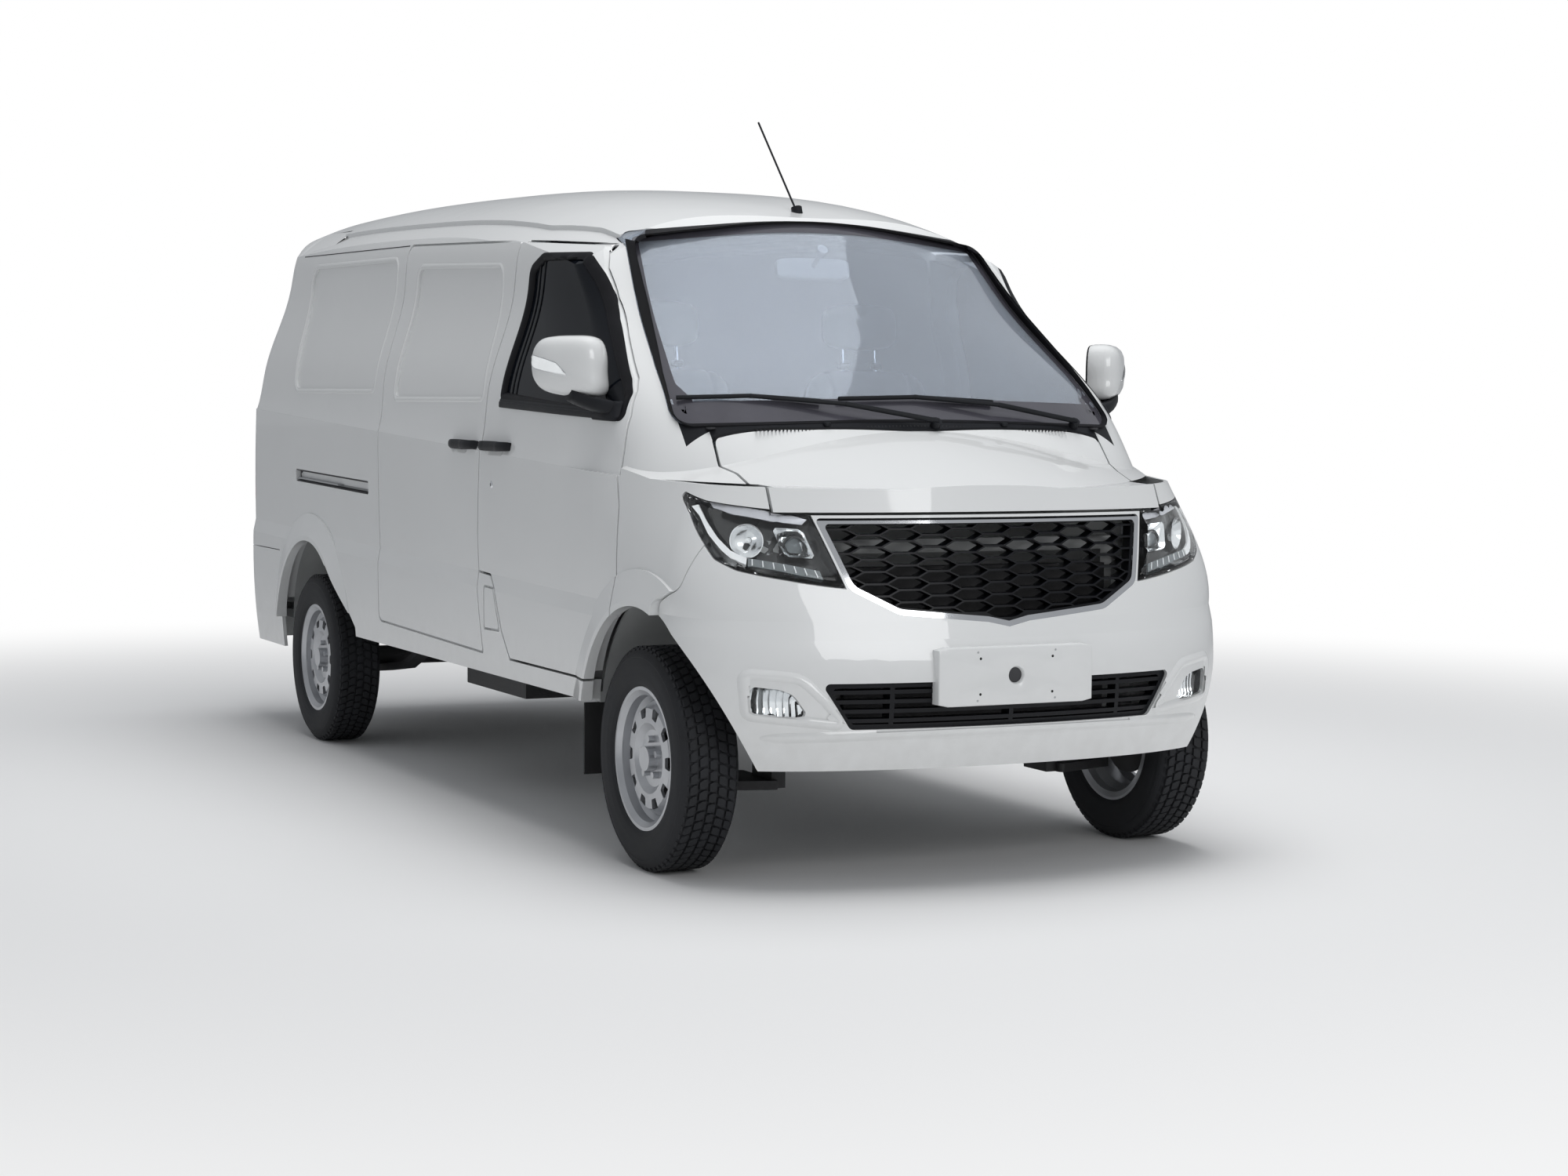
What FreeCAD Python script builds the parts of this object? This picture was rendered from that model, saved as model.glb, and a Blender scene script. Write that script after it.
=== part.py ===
import FreeCAD, Part
import math
import os
from collections import namedtuple
from FreeCAD import Vector
from functools import lru_cache

# Small panel van. +X points to the front, +Y to its left, +Z up. The origin
# lies on the ground, under the middle of the body. All sizes are millimetres.

doc = FreeCAD.newDocument("PanelVan")

# Driving dimensions
DIMENSIONS = (
    ("overall_length", 4360), ("roof_height", 1900), ("body_width", 1616),
    ("front_axle_x", 1615), ("wheelbase", 2930), ("axle_height", 293),
    ("track_half", 712), ("wall", 50), ("door_skin", 12), ("seam", 7),
    ("skin_rim", 18), ("hood_depth", 25), ("running_gap", 0.3),
    ("roof_skin", 30), ("arch_front_radius", 365), ("arch_rear_radius", 380),
    ("arch_front_shift", 25), ("arch_axis_height", 326), ("flare_out", 14),
    ("flare_width", 95), ("tyre_radius", 293), ("tyre_width", 165), ("hub_offset", 30),
    ("hub_radius", 52), ("brake_radius", 112), ("lug_count", 5), ("lug_circle", 100),
    ("vent_count", 10), ("belt_height", 1080), ("sill_height", 410), ("door_bottom", 468),
    ("floor_height", 400), ("floor_skin", 30), ("glass", 6), ("glass_depth", 10),
    ("engine_length", 550), ("engine_width", 420), ("engine_height", 330),
    ("shaft_radius", 32), ("exhaust_radius", 24), ("tank_length", 560),
    ("axle_tube_radius", 34), ("differential_radius", 102), ("wheel_rim_steering", 185),
    ("seat_width", 470), ("plate_width", 448), ("plate_height", 148), ("plate_centre", 535),
    ("plate_proud", 10), ("plate_hole", 3.5), ("plate_hole_across", 210), ("plate_hole_up", 90),
    ("spare_radius", 270), ("spare_width", 124), ("tank_width", 480), ("tank_bottom", 290),
    ("gutter_y", 612), ("well_room", 34), ("housing_skin", 6), ("blank_depth", 8),
    ("slot_depth", 18), ("surround_width", 14), ("gutter_depth", 14), ("cell_width", 108),
    ("cell_pitch_across", 86), ("cell_pitch_up", 30), ("cell_web", 5), ("mirror_length", 216),
    ("mirror_height", 168), ("mirror_thickness", 94), ("mirror_round", 36), ("bumper_bottom", 302),
    ("bowl_radius", 50), ("bowl_depth", 9), ("bowl_length", 96), ("flap_bottom", 205),
    ("radiator_width", 770), ("radiator_height", 420), ("radiator_thickness", 45),
)
sheet = doc.addObject("Spreadsheet::Sheet", "Dimensions")
for row, (alias, value) in enumerate(DIMENSIONS, 1):
    sheet.set("A%d" % row, alias)
    sheet.set("B%d" % row, str(value))
    sheet.setAlias("B%d" % row, alias)
doc.recompute()


def size(alias):
    return float(getattr(sheet, alias))


WALL = size("wall")
SKIN = size("door_skin")
SEAM = size("seam")
HALF_LENGTH = size("overall_length") / 2
HALF_WIDTH = size("body_width") / 2
FRONT_X = size("front_axle_x")
REAR_X = FRONT_X - size("wheelbase")
AXLE_Z = size("axle_height")
TRACK = size("track_half")
GAP = size("running_gap")
HUB_FACE = TRACK + size("hub_offset")
FAR = 3000.0
nodes = {}


# Document helpers
def keep(name, shape):
    """Adds a computed shape to the document under its node name."""
    solids = shape.Solids
    shape = solids[0] if len(solids) == 1 else Part.makeCompound(solids)
    item = doc.addObject("Part::Feature", name)
    item.Shape = shape
    item.Label = name
    nodes[name] = item
    return shape


def bind(item, **formulas):
    for key, formula in formulas.items():
        item.setExpression(key, formula)


def largest(shape):
    return max(shape.Solids, key=lambda solid: solid.Volume)


def mirrored(shape):
    return shape.mirror(Vector(0, 0, 0), Vector(0, 1, 0))


def box(x, y, z):
    """A box from three (low, high) pairs."""
    corner = Vector(x[0], y[0], z[0])
    return Part.makeBox(x[1] - x[0], y[1] - y[0], z[1] - z[0], corner)


def both(y_low, y_high):
    """The (low, high) pair of a piece on the left, and of its twin on the right."""
    return ((y_low, y_high), (-y_high, -y_low))


def rod(start, end, radius):
    axis = Vector(*end) - Vector(*start)
    return Part.makeCylinder(radius, axis.Length, Vector(*start), axis)


# Outlines: polygons with rounded corners in one of the three main planes
def grown(points, amount):
    """Moves every edge of a polygon outward by the same amount."""
    area = sum(a[0] * b[1] - b[0] * a[1] for a, b in zip(points, points[1:] + points[:1]))
    turn = 1.0 if area > 0 else -1.0
    result = []
    count = len(points)
    for i, here in enumerate(points):
        before, after = points[i - 1], points[(i + 1) % count]
        first = Vector(here[0] - before[0], here[1] - before[1], 0).normalize()
        second = Vector(after[0] - here[0], after[1] - here[1], 0).normalize()
        n1 = Vector(first.y, -first.x, 0) * turn
        n2 = Vector(second.y, -second.x, 0) * turn
        middle = n1 + n2
        middle = middle * (2.0 * amount / middle.dot(middle))
        radius = here[2] if len(here) > 2 else 0.0
        result.append((here[0] + middle.x, here[1] + middle.y, radius))
    return result


def place(u, v, plane, level):
    spots = {"XZ": Vector(u, level, v), "YZ": Vector(level, u, v), "XY": Vector(u, v, level)}
    return spots[plane]


def outline(points, plane, level, radius=0.0):
    """A face inside a closed polygon whose corners are rounded."""
    edges = []
    count = len(points)
    ends = []
    for i, here in enumerate(points):
        corner = Vector(here[0], here[1], 0)
        back = Vector(points[i - 1][0], points[i - 1][1], 0) - corner
        ahead = Vector(points[(i + 1) % count][0], points[(i + 1) % count][1], 0) - corner
        wish = here[2] if len(here) > 2 and here[2] else radius
        angle = back.getAngle(ahead)
        if wish <= 0 or abs(math.pi - angle) < 0.02:
            ends.append((corner, None, corner))
            continue
        reach = min(wish / math.tan(angle / 2), 0.45 * back.Length, 0.45 * ahead.Length)
        true_radius = reach * math.tan(angle / 2)
        back.normalize()
        ahead.normalize()
        bisector = (back + ahead).normalize()
        centre = corner + bisector * (true_radius / math.sin(angle / 2))
        ends.append((corner + back * reach, centre - bisector * true_radius, corner + ahead * reach))
    for i, (start, middle, end) in enumerate(ends):
        if middle is not None:
            spots = [place(p.x, p.y, plane, level) for p in (start, middle, end)]
            edges.append(Part.Arc(*spots).toShape())
        following = ends[(i + 1) % count][0]
        if (following - end).Length > 1e-6:
            edges.append(Part.makeLine(place(end.x, end.y, plane, level),
                                       place(following.x, following.y, plane, level)))
    return Part.Face(Part.Wire(edges))


def prism(points, plane, low, high, radius=0.0, grow=0.0):
    if grow:
        points = grown(points, grow)
    normal = {"XZ": Vector(0, 1, 0), "YZ": Vector(1, 0, 0), "XY": Vector(0, 0, 1)}[plane]
    return outline(points, plane, low, radius).extrude(normal * (high - low))


def side_prism(points, grow=0.0, radius=0.0):
    """A cutter through the right-hand wall."""
    return prism(points, "XZ", -1200, -350, radius, grow)


# Body surface: plan curves stacked in height. Each level is one closed curve,
# and its plane may fall towards the front by the tilt.
Level = namedtuple("Level", "z tilt nose bow shoulder_x shoulder full_x width tail_x tail_width tail")
BAND_TILT = 0.018
BELT_TILT = 0.04
HOUSE_TILT = 0.0318
SCREEN_FOOT = (1665.0, 1139.0)
SCREEN_RUN = 1.1337
BELT_Z = size("belt_height")


def screen_nose(z, tilt):
    """Where the windscreen's middle line crosses a tilted level."""
    return (SCREEN_FOOT[0] - SCREEN_RUN * (z - SCREEN_FOOT[1])) / (1 - SCREEN_RUN * tilt)


NOSE_X = HALF_LENGTH - size("plate_proud")
LOWER = (
    Level(250, 0, NOSE_X - 68, 0.28, 1790, 770, 1330, 786, -2010, 781, -2120),
    Level(430, 0, NOSE_X - 5, 0.28, 1811, 797, 1330, 802, -2030, 797, -2168),
    Level(540, 0.005, NOSE_X, 0.28, 1811, 803, 1330, 807, -2035, 802, -HALF_LENGTH),
    Level(667, BAND_TILT, NOSE_X - 21, 0.28, 1811, 802, 1330, HALF_WIDTH + 1, -2030, 804, -2176),
)
BAND = (LOWER[-1], Level(713, BAND_TILT, 2137, 0.28, 1808, 794, 1330, 800, -2025, 796, -2166))
UPPER = (
    BAND[-1],
    Level(880, 0.025, 2083, 0.29, 1790, 780, 1330, 806, -2010, 801, -2155),
    Level(1000, 0.03, 2045, 0.30, 1770, 738, 1330, HALF_WIDTH, -1995, 803, -2145),
    Level(1240, BELT_TILT, 1990, 0.30, 1740, 668, 1330, HALF_WIDTH, -1965, 800, -2120),
)
HOUSE = (
    Level(BELT_Z, BELT_TILT, screen_nose(BELT_Z, BELT_TILT), 0.30, 1450, 786, 1080,
          HALF_WIDTH, -1980, 801, -2132),
    Level(1180, 0.036, screen_nose(1180, 0.036), 0.14, 1385, 771, 1010, 793, -1955, 786, -2108),
    Level(1370, HOUSE_TILT, screen_nose(1370, HOUSE_TILT), 0.16, 1160, 742, 850, 760, -1890, 752, -2050),
    Level(1640, HOUSE_TILT, screen_nose(1640, HOUSE_TILT), 0.60, 880, 700, 600, 708, -1805, 700, -1960),
    Level(1700, HOUSE_TILT, screen_nose(1700, HOUSE_TILT), 0.60, 820, 684, 560, 690, -1785, 680, -1938),
    Level(1745, HOUSE_TILT, screen_nose(1745, HOUSE_TILT), 0.60, 770, 650, 530, 656, -1765, 645, -1915),
    Level(1785, HOUSE_TILT, screen_nose(1785, HOUSE_TILT), 0.60, 720, 590, 500, 596, -1710, 585, -1880),
    Level(1850, HOUSE_TILT, screen_nose(1850, HOUSE_TILT), 0.60, 660, 560, 460, 566, -1690, 555, -1850),
    Level(1980, HOUSE_TILT, screen_nose(1980, HOUSE_TILT), 0.60, 500, 540, 300, 546, -1650, 535, -1800),
)
ROOF_LINE = ((1200, -230), (995, -163), (700, -95), (200, -38), (-400, -12), (-1100, 0),
             (-1700, -4), (-2300, -20))
ROOF_CROWN = 480.0
HOOD_LINE = ((2300, 890), (2040, 1002), (1850, 1075), (1665, 1140), (1450, 1205))
HOOD_CROWN = 0.252


def plan_curve(points, level):
    curve = Part.BezierCurve()
    curve.setPoles([Vector(x, y, level.z - level.tilt * x) for x, y in points])
    return curve.toShape()


def half_plan(level, inset):
    """Nose, shoulder blend, flank and tail of the left half, as Bezier poles."""
    nose = level.nose - inset
    tail = level.tail + inset
    shoulder = level.shoulder - inset
    width = level.width - inset
    tail_width = level.tail_width - inset
    start, full, end = level.shoulder_x, level.full_x, level.tail_x
    third = (start - full) / 3.0
    slope = 1.2 * (width - shoulder) / (start - full)
    bow_x = nose - level.bow * (nose - start)
    return [
        [(nose, 0), (nose, 0.5 * shoulder), (bow_x, shoulder - slope * (bow_x - start)),
         (start, shoulder)],
        [(start, shoulder), (start - third, shoulder + slope * third), (full + third, width),
         (full, width)],
        [(full, width), (end, tail_width)],
        [(end, tail_width), (tail + 0.08 * (end - tail), tail_width), (tail, 0.86 * tail_width),
         (tail, 0)],
    ]


def plan_wire(level, inset):
    left = half_plan(level, inset)
    right = [[(x, -y) for x, y in reversed(curve)] for curve in reversed(left)]
    return Part.Wire([plan_curve(curve, level) for curve in left + right])


def stacked(levels, inset, ruled=False):
    return Part.makeLoft([plan_wire(level, inset) for level in levels], True, ruled, False, 3)


def closed_above(curves, x, half, edge_z):
    """Closes a crowned line across the body into a section of a cutter."""
    top = edge_z + 900
    corners = [Vector(x, half, edge_z), Vector(x, half, top), Vector(x, -half, top),
               Vector(x, -half, edge_z)]
    walls = [Part.makeLine(corners[i], corners[i + 1]) for i in range(3)]
    return Part.Wire([curves[0]] + walls + curves[1:])


def roof_section(x, z):
    half = 1000.0
    drop = ROOF_CROWN * (half / 1000.0) ** 3
    shape = [(0, z), (half / 3, z), (2 * half / 3, z), (half, z - drop)]
    left = Part.BezierCurve()
    left.setPoles([Vector(x, y, height) for y, height in shape])
    right = Part.BezierCurve()
    right.setPoles([Vector(x, -y, height) for y, height in reversed(shape)])
    return closed_above([left.toShape(), right.toShape()], x, half, z - drop)


def hood_section(x, z):
    half = 1000.0
    rise = HOOD_CROWN * half
    curve = Part.BezierCurve()
    curve.setPoles([Vector(x, -half, z - rise), Vector(x, 0, z + rise), Vector(x, half, z - rise)])
    return closed_above([curve.toShape()], x, half, z - rise)


def above_roof(inset):
    height = size("roof_height") - inset
    sections = [roof_section(x, height + fall) for x, fall in ROOF_LINE]
    return Part.makeLoft(sections, True, False, False, 3)


def above_hood(inset):
    return Part.makeLoft([hood_section(x, z - inset) for x, z in HOOD_LINE], True, False, False, 3)


def under_belt():
    reach = 2400
    corners = [Vector(reach, -1200, 0), Vector(-reach, -1200, 0),
               Vector(-reach, -1200, BELT_Z + BELT_TILT * reach),
               Vector(reach, -1200, BELT_Z - BELT_TILT * reach), Vector(reach, -1200, 0)]
    return Part.Face(Part.makePolygon(corners)).extrude(Vector(0, 2400, 0))


@lru_cache(maxsize=None)
def house(inset):
    """The upper body above the belt, closed by the roof."""
    return stacked(HOUSE, inset).cut(above_roof(inset))


def envelope(inset):
    """The whole body as one solid, drawn in by the inset."""
    flanks = stacked(LOWER, inset).fuse(stacked(BAND, inset, True))
    upper = stacked(UPPER, inset)
    nose = upper.common(box((1480, 2400), (-1200, 1200), (0, 1400))).cut(above_hood(inset))
    return flanks.fuse([upper.common(under_belt()), nose, house(inset)]).removeSplitter()


# Wheel arches: openings and their flared lips
ARCH_Z = size("arch_axis_height")
ARCHES = (
    (FRONT_X + size("arch_front_shift"), size("arch_front_radius")),
    (REAR_X + 5, size("arch_rear_radius")),
)
REAR_SWEEP = ((-1080, 636), (-800, 440), (-780, 240), (-1315, 240))


def arch_cut(grow=0.0):
    """Both wheel openings on the right, with the straight fall to the ground."""
    cuts = []
    for x, radius in ARCHES:
        cuts.append(Part.makeCylinder(radius + grow, 800, Vector(x, -1250, ARCH_Z), Vector(0, 1, 0)))
        cuts.append(box((x - radius + 0.5 - grow, x + radius - 0.5 + grow), (-1250, -450), (0, ARCH_Z)))
    cuts.append(prism(list(REAR_SWEEP), "XZ", -1250, -450, grow=grow))
    return cuts[0].fuse(cuts[1:])


def arch_lip(x, radius):
    """A ring that swells out of the flank towards the wheel opening."""
    outer = HALF_WIDTH + size("flare_out")
    width = size("flare_width")
    profile = [Vector(radius - 8, -700, 0), Vector(radius - 8, -outer, 0), Vector(radius + 16, -outer, 0),
               Vector(radius + width, -HALF_WIDTH + 3, 0), Vector(radius + width, -700, 0)]
    ring = Part.Face(Part.makePolygon(profile + [profile[0]]))
    ring = ring.revolve(Vector(0, 0, 0), Vector(0, 1, 0), 360)
    ring.translate(Vector(x, 0, ARCH_Z))
    upper = box((x - 700, x + 700), (-1200, -600), (ARCH_Z, 1200))
    return ring.common(upper)


skin = envelope(0)
under_skin = envelope(SKIN)
cavity = envelope(WALL)
outer_shell = skin.cut(under_skin)
inner_shell = under_skin.cut(cavity)
lips = [arch_lip(*arch) for arch in ARCHES]
right_half = box((-FAR, FAR), (-FAR, 0), (-10, FAR))
well = arch_cut()
inner_well = arch_cut(size("well_room"))
sill_cut = box((-FAR, FAR), (-FAR, FAR), (-10, size("sill_height")))
outer_layer = skin.common(right_half).fuse(lips).cut([under_skin, well])
inner_layer = inner_shell.common(right_half).cut(inner_well)

# Panel outlines, side view (x, z, corner radius)
DOOR_BOTTOM = size("door_bottom")
FRONT_DOOR = [(692, DOOR_BOTTOM), (1484, DOOR_BOTTOM), (1484, 940, 60), (1464, 1023, 60), (1452, 1094),
              (1434, 1176), (1400, 1240), (1368, 1275), (1334, 1301), (1222, 1386), (1087, 1495),
              (1000, 1578, 40), (977, 1607, 40), (938, 1650, 50), (640, 1668, 70), (498, 1675, 10),
              (470, 1300, 60), (438, 1003, 60), (418, 817), (418, 705, 6), (519, 701, 18), (573, 661),
              (630, 544)]
DOOR_WINDOW = [(580, 1217, 12), (617, 1590, 40), (700, 1627, 40), (930, 1622, 50), (1008, 1558, 60),
               (1150, 1431), (1235, 1364), (1356, 1268), (1392, 1232, 20), (1414, 1166, 12)]
SLIDING_DOOR = [(466, DOOR_BOTTOM, 8), (426, 655), (418, 705), (418, 817), (438, 1003, 60),
                (470, 1300, 60), (498, 1675, 6), (-530, 1705, 30), (-530, DOOR_BOTTOM + 18, 30)]
FRONT_BLANK = [(420, 1222, 14), (375, 1598, 30), (-394, 1622, 30), (-400, 1218, 14)]
REAR_BLANK = [(-630, 1242, 20), (-626, 1655, 30), (-1592, 1663, 60), (-1540, 1240, 40)]
FUEL_FLAP = [(484, 666, 8), (560, 664, 8), (612, 544, 8), (483, 541, 8)]
TRACK_SLOT = [(-640, 892, 8), (-640, 936, 8), (-1488, 953, 8), (-1488, 910, 8)]
FENDER_TAIL = [(1484, 500), (1484, 940, 60), (1464, 1023, 60), (1452, 1094), (1434, 1176), (1400, 1240),
               (1378, 1275), (1370, 1298)]
LAMP_SIDE = [(1712, 996, 10), (1827, 967), (1894, 956), (1945, 947), (1986, 936), (2200, 925),
             (2200, 742), (2070, 757), (2018, 780), (1959, 802), (1915, 828), (1883, 860),
             (1800, 936, 30)]
LAMP_FRONT = [(-490, 1000), (-490, 935), (-430, 752), (-430, 700), (-900, 700), (-900, 1000)]
BUMPER_SEAM = [(1883, 861), (1860, 748, 40), (1747, 705, 40), (1747, 560)]
HOOD_LIP_Z = 942.0
HOOD_REAR_X = 1672.0
HOOD_CORNER_Y = 590.0
HOOD_PLAN = [(1667, 0, 1500), (1648, -330, 600), (1616, -584, 12), (HOOD_REAR_X, -HOOD_CORNER_Y, 60),
             (1735, -572, 80), (1950, -573, 30), (2200, -500), (2200, 500), (1950, 573, 30),
             (1735, 572, 80), (HOOD_REAR_X, HOOD_CORNER_Y, 60), (1616, 584, 12), (1648, 330, 600)]
SCREEN_FRONT = [(-674, 1148, 40), (-647, 1301), (-597, 1495), (-556, 1688, 45), (0, 1742, 2600),
                (556, 1688, 45), (597, 1495), (647, 1301), (674, 1148, 40), (0, 1168, 9000)]
COWL_TOP = 1168.0
GRILLE_FRONT = [(-480, 928, 10), (-420, 752, 40), (-300, 690, 60), (-60, 668), (0, 655), (60, 668),
                (300, 690, 60), (420, 752, 40), (480, 928, 10)]
LOWER_GRILLE = [(-512, 524, 12), (-437, 408, 20), (437, 408, 20), (512, 524, 12)]
GUTTER = size("gutter_y")
ROOF_PLAN = [(1020, -300), (906, -556), (790, -560, 200), (520, -GUTTER, 200), (-1700, -GUTTER, 60),
             (-2050, -580), (-2050, 580), (-1700, GUTTER, 60), (520, GUTTER, 200), (790, 560, 200),
             (906, 556), (1020, 300)]
TAILGATE_TOP = 1800.0
TAILGATE_SEAM_Z = 660.0
TAILGATE = [(-700, TAILGATE_SEAM_Z, 40), (-700, 1180), (-628, 1720, 40), (-560, TAILGATE_TOP, 40),
            (560, TAILGATE_TOP, 40), (628, 1720, 40), (700, 1180), (700, TAILGATE_SEAM_Z, 40)]
TAILGATE_WINDOW = [(-590, 1225, 50), (-560, 1660, 60), (560, 1660, 60), (590, 1225, 50)]
REAR_BUMPER_TOP = TAILGATE_SEAM_Z - SEAM


HINGE_HEIGHTS = (760.0, 920.0)
PILLAR_X = 1484.0
HINGE_Y = (-776.0, -756.0)
REAR_FACE_X = -1850.0


def door_cut(points):
    return side_prism(points, grow=SEAM / 2)


def hung_panel(points):
    """A hinged panel: the skin fills its outline, the inner frame steps back."""
    face = outer_layer.common(side_prism(points, grow=-SEAM / 2))
    frame = inner_layer.common(side_prism(points, grow=-SEAM / 2 - size("skin_rim")))
    return face.fuse(frame)


screen_hole = prism(SCREEN_FRONT, "YZ", 800, 2050)
roof_zone = prism(ROOF_PLAN, "XY", 1640, 2100)
hood_zone = prism(HOOD_PLAN, "XY", 800, 1300).cut(box((1400, 2300), (-900, 900), (700, HOOD_LIP_Z)))
hood_gap = prism(HOOD_PLAN, "XY", 800, 1300, grow=SEAM).cut(
    box((1400, 2300), (-900, 900), (700, HOOD_LIP_Z - SEAM)))
gate_gap = prism(TAILGATE, "YZ", -2400, REAR_FACE_X, grow=SEAM / 2)
front_block = prism(FENDER_TAIL + [(2400, 1298), (2400, 0), (1484, 0)], "XZ", -1200, 1200)
rear_bumper_zone = box((-2400, -1695), (-1200, 1200), (-10, REAR_BUMPER_TOP))
cowl_zone = box((1540, HOOD_REAR_X), (-655, 655), (1000, COWL_TOP)).cut(
    [hood_gap] + [box((1596, 1700), y, (900, 1200)) for y in both(HOOD_CORNER_Y, 660)])
tail_lamp_zone = box((-2300, -2035), (-1000, -706), (828, 1232))



def handle_bowl(x, z, skin_y):
    """A shallow hollow in the skin that leaves room for the fingers."""
    radius = size("bowl_radius")
    centre_y = -skin_y - radius + size("bowl_depth")
    reach = size("bowl_length") / 2
    bowl = rod((x - reach, centre_y, z), (x + reach, centre_y, z), radius)
    ends = [Part.makeSphere(radius, Vector(x + side * reach, centre_y, z)) for side in (-1, 1)]
    return bowl.fuse(ends)


# Doors
HANDLE_Z = 1078.0
FRONT_HANDLE_X = 572.0
SLIDING_HANDLE_X = 304.0
window_cut = side_prism(DOOR_WINDOW)
front_door = hung_panel(FRONT_DOOR).cut([window_cut, handle_bowl(FRONT_HANDLE_X, HANDLE_Z, HALF_WIDTH)])
for height in HINGE_HEIGHTS:
    front_door = front_door.fuse(box((PILLAR_X - 30, PILLAR_X - 4), HINGE_Y, (height, height + 14)))
front_door = largest(front_door)
sliding_door = outer_layer.common(side_prism(SLIDING_DOOR, grow=-SEAM / 2))
sliding_door = sliding_door.fuse(inner_layer.common(door_cut(SLIDING_DOOR)))
pressing = house(0).cut(house(size("blank_depth")))
sliding_door = largest(sliding_door.cut([pressing.common(side_prism(FRONT_BLANK)),
                                         handle_bowl(SLIDING_HANDLE_X - 40, HANDLE_Z, HALF_WIDTH)]))
keep("front_door_right", front_door)
keep("front_door_left", mirrored(front_door))
keep("sliding_door_right", sliding_door)
keep("sliding_door_left", mirrored(sliding_door))

glass_band = house(size("glass_depth")).cut(house(size("glass_depth") + size("glass")))
door_glass = largest(glass_band.common(window_cut))
keep("door_glass_right", door_glass)
keep("door_glass_left", mirrored(door_glass))

# Body sides: what remains of the wall between the openings
side_openings = [door_cut(FRONT_DOOR), door_cut(SLIDING_DOOR), sill_cut, roof_zone, screen_hole,
                 gate_gap, rear_bumper_zone, tail_lamp_zone,
                 box((1560, 2400), (-1200, 0), (0, 1060)), box((1300, 2400), (-655, 0), (900, COWL_TOP)),
                 box((-2400, -1700), (-690, 0), (0, 2000))]
wall_outer = outer_layer.cut([front_block] + side_openings)
wall_inner = inner_layer.cut(side_openings)
body_side = wall_outer.fuse(wall_inner)
slot = stacked(UPPER, 0).cut(stacked(UPPER, size("slot_depth"))).common(side_prism(TRACK_SLOT))
body_side = body_side.cut([outer_shell.common(side_prism(FUEL_FLAP, grow=SEAM / 2)),
                           pressing.common(side_prism(REAR_BLANK)), slot,
                           above_roof(size("gutter_depth"))])
for height in HINGE_HEIGHTS:
    body_side = body_side.fuse(box((PILLAR_X - 16, PILLAR_X + 20), HINGE_Y, (height - 14, height)))
body_side = largest(body_side)
keep("body_side_right", body_side)
keep("body_side_left", mirrored(body_side))
flap = largest(outer_shell.common(side_prism(FUEL_FLAP, grow=-SEAM / 2)))
seat_plane = under_skin.copy()
seat_plane.translate(Vector(0, -GAP, 0))
flap = largest(flap.cut(seat_plane))
keep("fuel_flap", flap)
tail_lamp = largest(skin.cut(cavity).common(tail_lamp_zone))
keep("tail_lamps", Part.makeCompound([tail_lamp, mirrored(tail_lamp)]))

# Front fenders
bumper_side = BUMPER_SEAM + [(1747, 0), (2400, 0), (2400, 861)]
fender_zone = front_block.cut([side_prism(LAMP_SIDE, grow=2),
                               prism(bumper_side, "XZ", -1200, 1200, grow=3), door_cut(FRONT_DOOR)])
fender = outer_layer.common(fender_zone).cut([
    hood_gap, screen_hole, cowl_zone, sill_cut,
    box((1300, HOOD_REAR_X), (-HOOD_CORNER_Y, 0), (900, 1128)), box((1200, 2400), (-1200, 0), (0, ARCH_Z))])
fender = largest(fender)
keep("fender_right", fender)
keep("fender_left", mirrored(fender))

# Hood, cowl, roof, screen, tailgate
hood_room = stacked(UPPER, size("hood_depth")).cut(above_hood(size("hood_depth")))
hood_frame = under_skin.cut(hood_room).common(
    prism(HOOD_PLAN, "XY", 800, 1300, grow=-size("skin_rim")).cut(
        box((1400, 2300), (-900, 900), (700, HOOD_LIP_Z + SEAM))))
hood = outer_shell.common(hood_zone).fuse(hood_frame)
HINGE_ARM_X = (1690.0, 1740.0)
for side in (-1, 1):
    hood = hood.fuse(box(HINGE_ARM_X, sorted((side * 500, side * 530)), (985, 1032)))
keep("hood", largest(hood))
cowl = largest(outer_shell.common(cowl_zone).cut(screen_hole))
keep("cowl_panel", cowl)

roof = skin.common(roof_zone).cut([house(size("roof_skin")), screen_hole,
                                   box((-2400, -1500), (-1200, 1200), (0, TAILGATE_TOP + SEAM / 2))])
GATE_HINGE_Y = 400.0
for side in (-1, 1):
    roof = roof.fuse(box((-1899, -1878), sorted((side * GATE_HINGE_Y, side * (GATE_HINGE_Y - 14))),
                         (1781, 1812)))
keep("roof_panel", largest(roof))

screen = house(2).cut(house(5 + size("glass"))).common(screen_hole)
screen = screen.common(box((800, 2100), (-900, 900), (1000, 1900)))
keep("windscreen", largest(screen))

gate_frame_zone = prism(TAILGATE, "YZ", -2400, REAR_FACE_X, grow=-SEAM / 2 - size("skin_rim"))
gate_window = prism(TAILGATE_WINDOW, "YZ", -2400, REAR_FACE_X)
tailgate = outer_shell.common(prism(TAILGATE, "YZ", -2400, REAR_FACE_X, grow=-SEAM / 2))
tailgate = tailgate.fuse(inner_shell.common(gate_frame_zone)).cut(gate_window)
for side in (-1, 1):
    tailgate = tailgate.fuse(box((-1911, -1886), sorted((side * GATE_HINGE_Y, side * (GATE_HINGE_Y + 14))),
                                 (1755, 1795)))
keep("tailgate", largest(tailgate))
keep("tailgate_glass", largest(glass_band.common(gate_window)))

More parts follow.
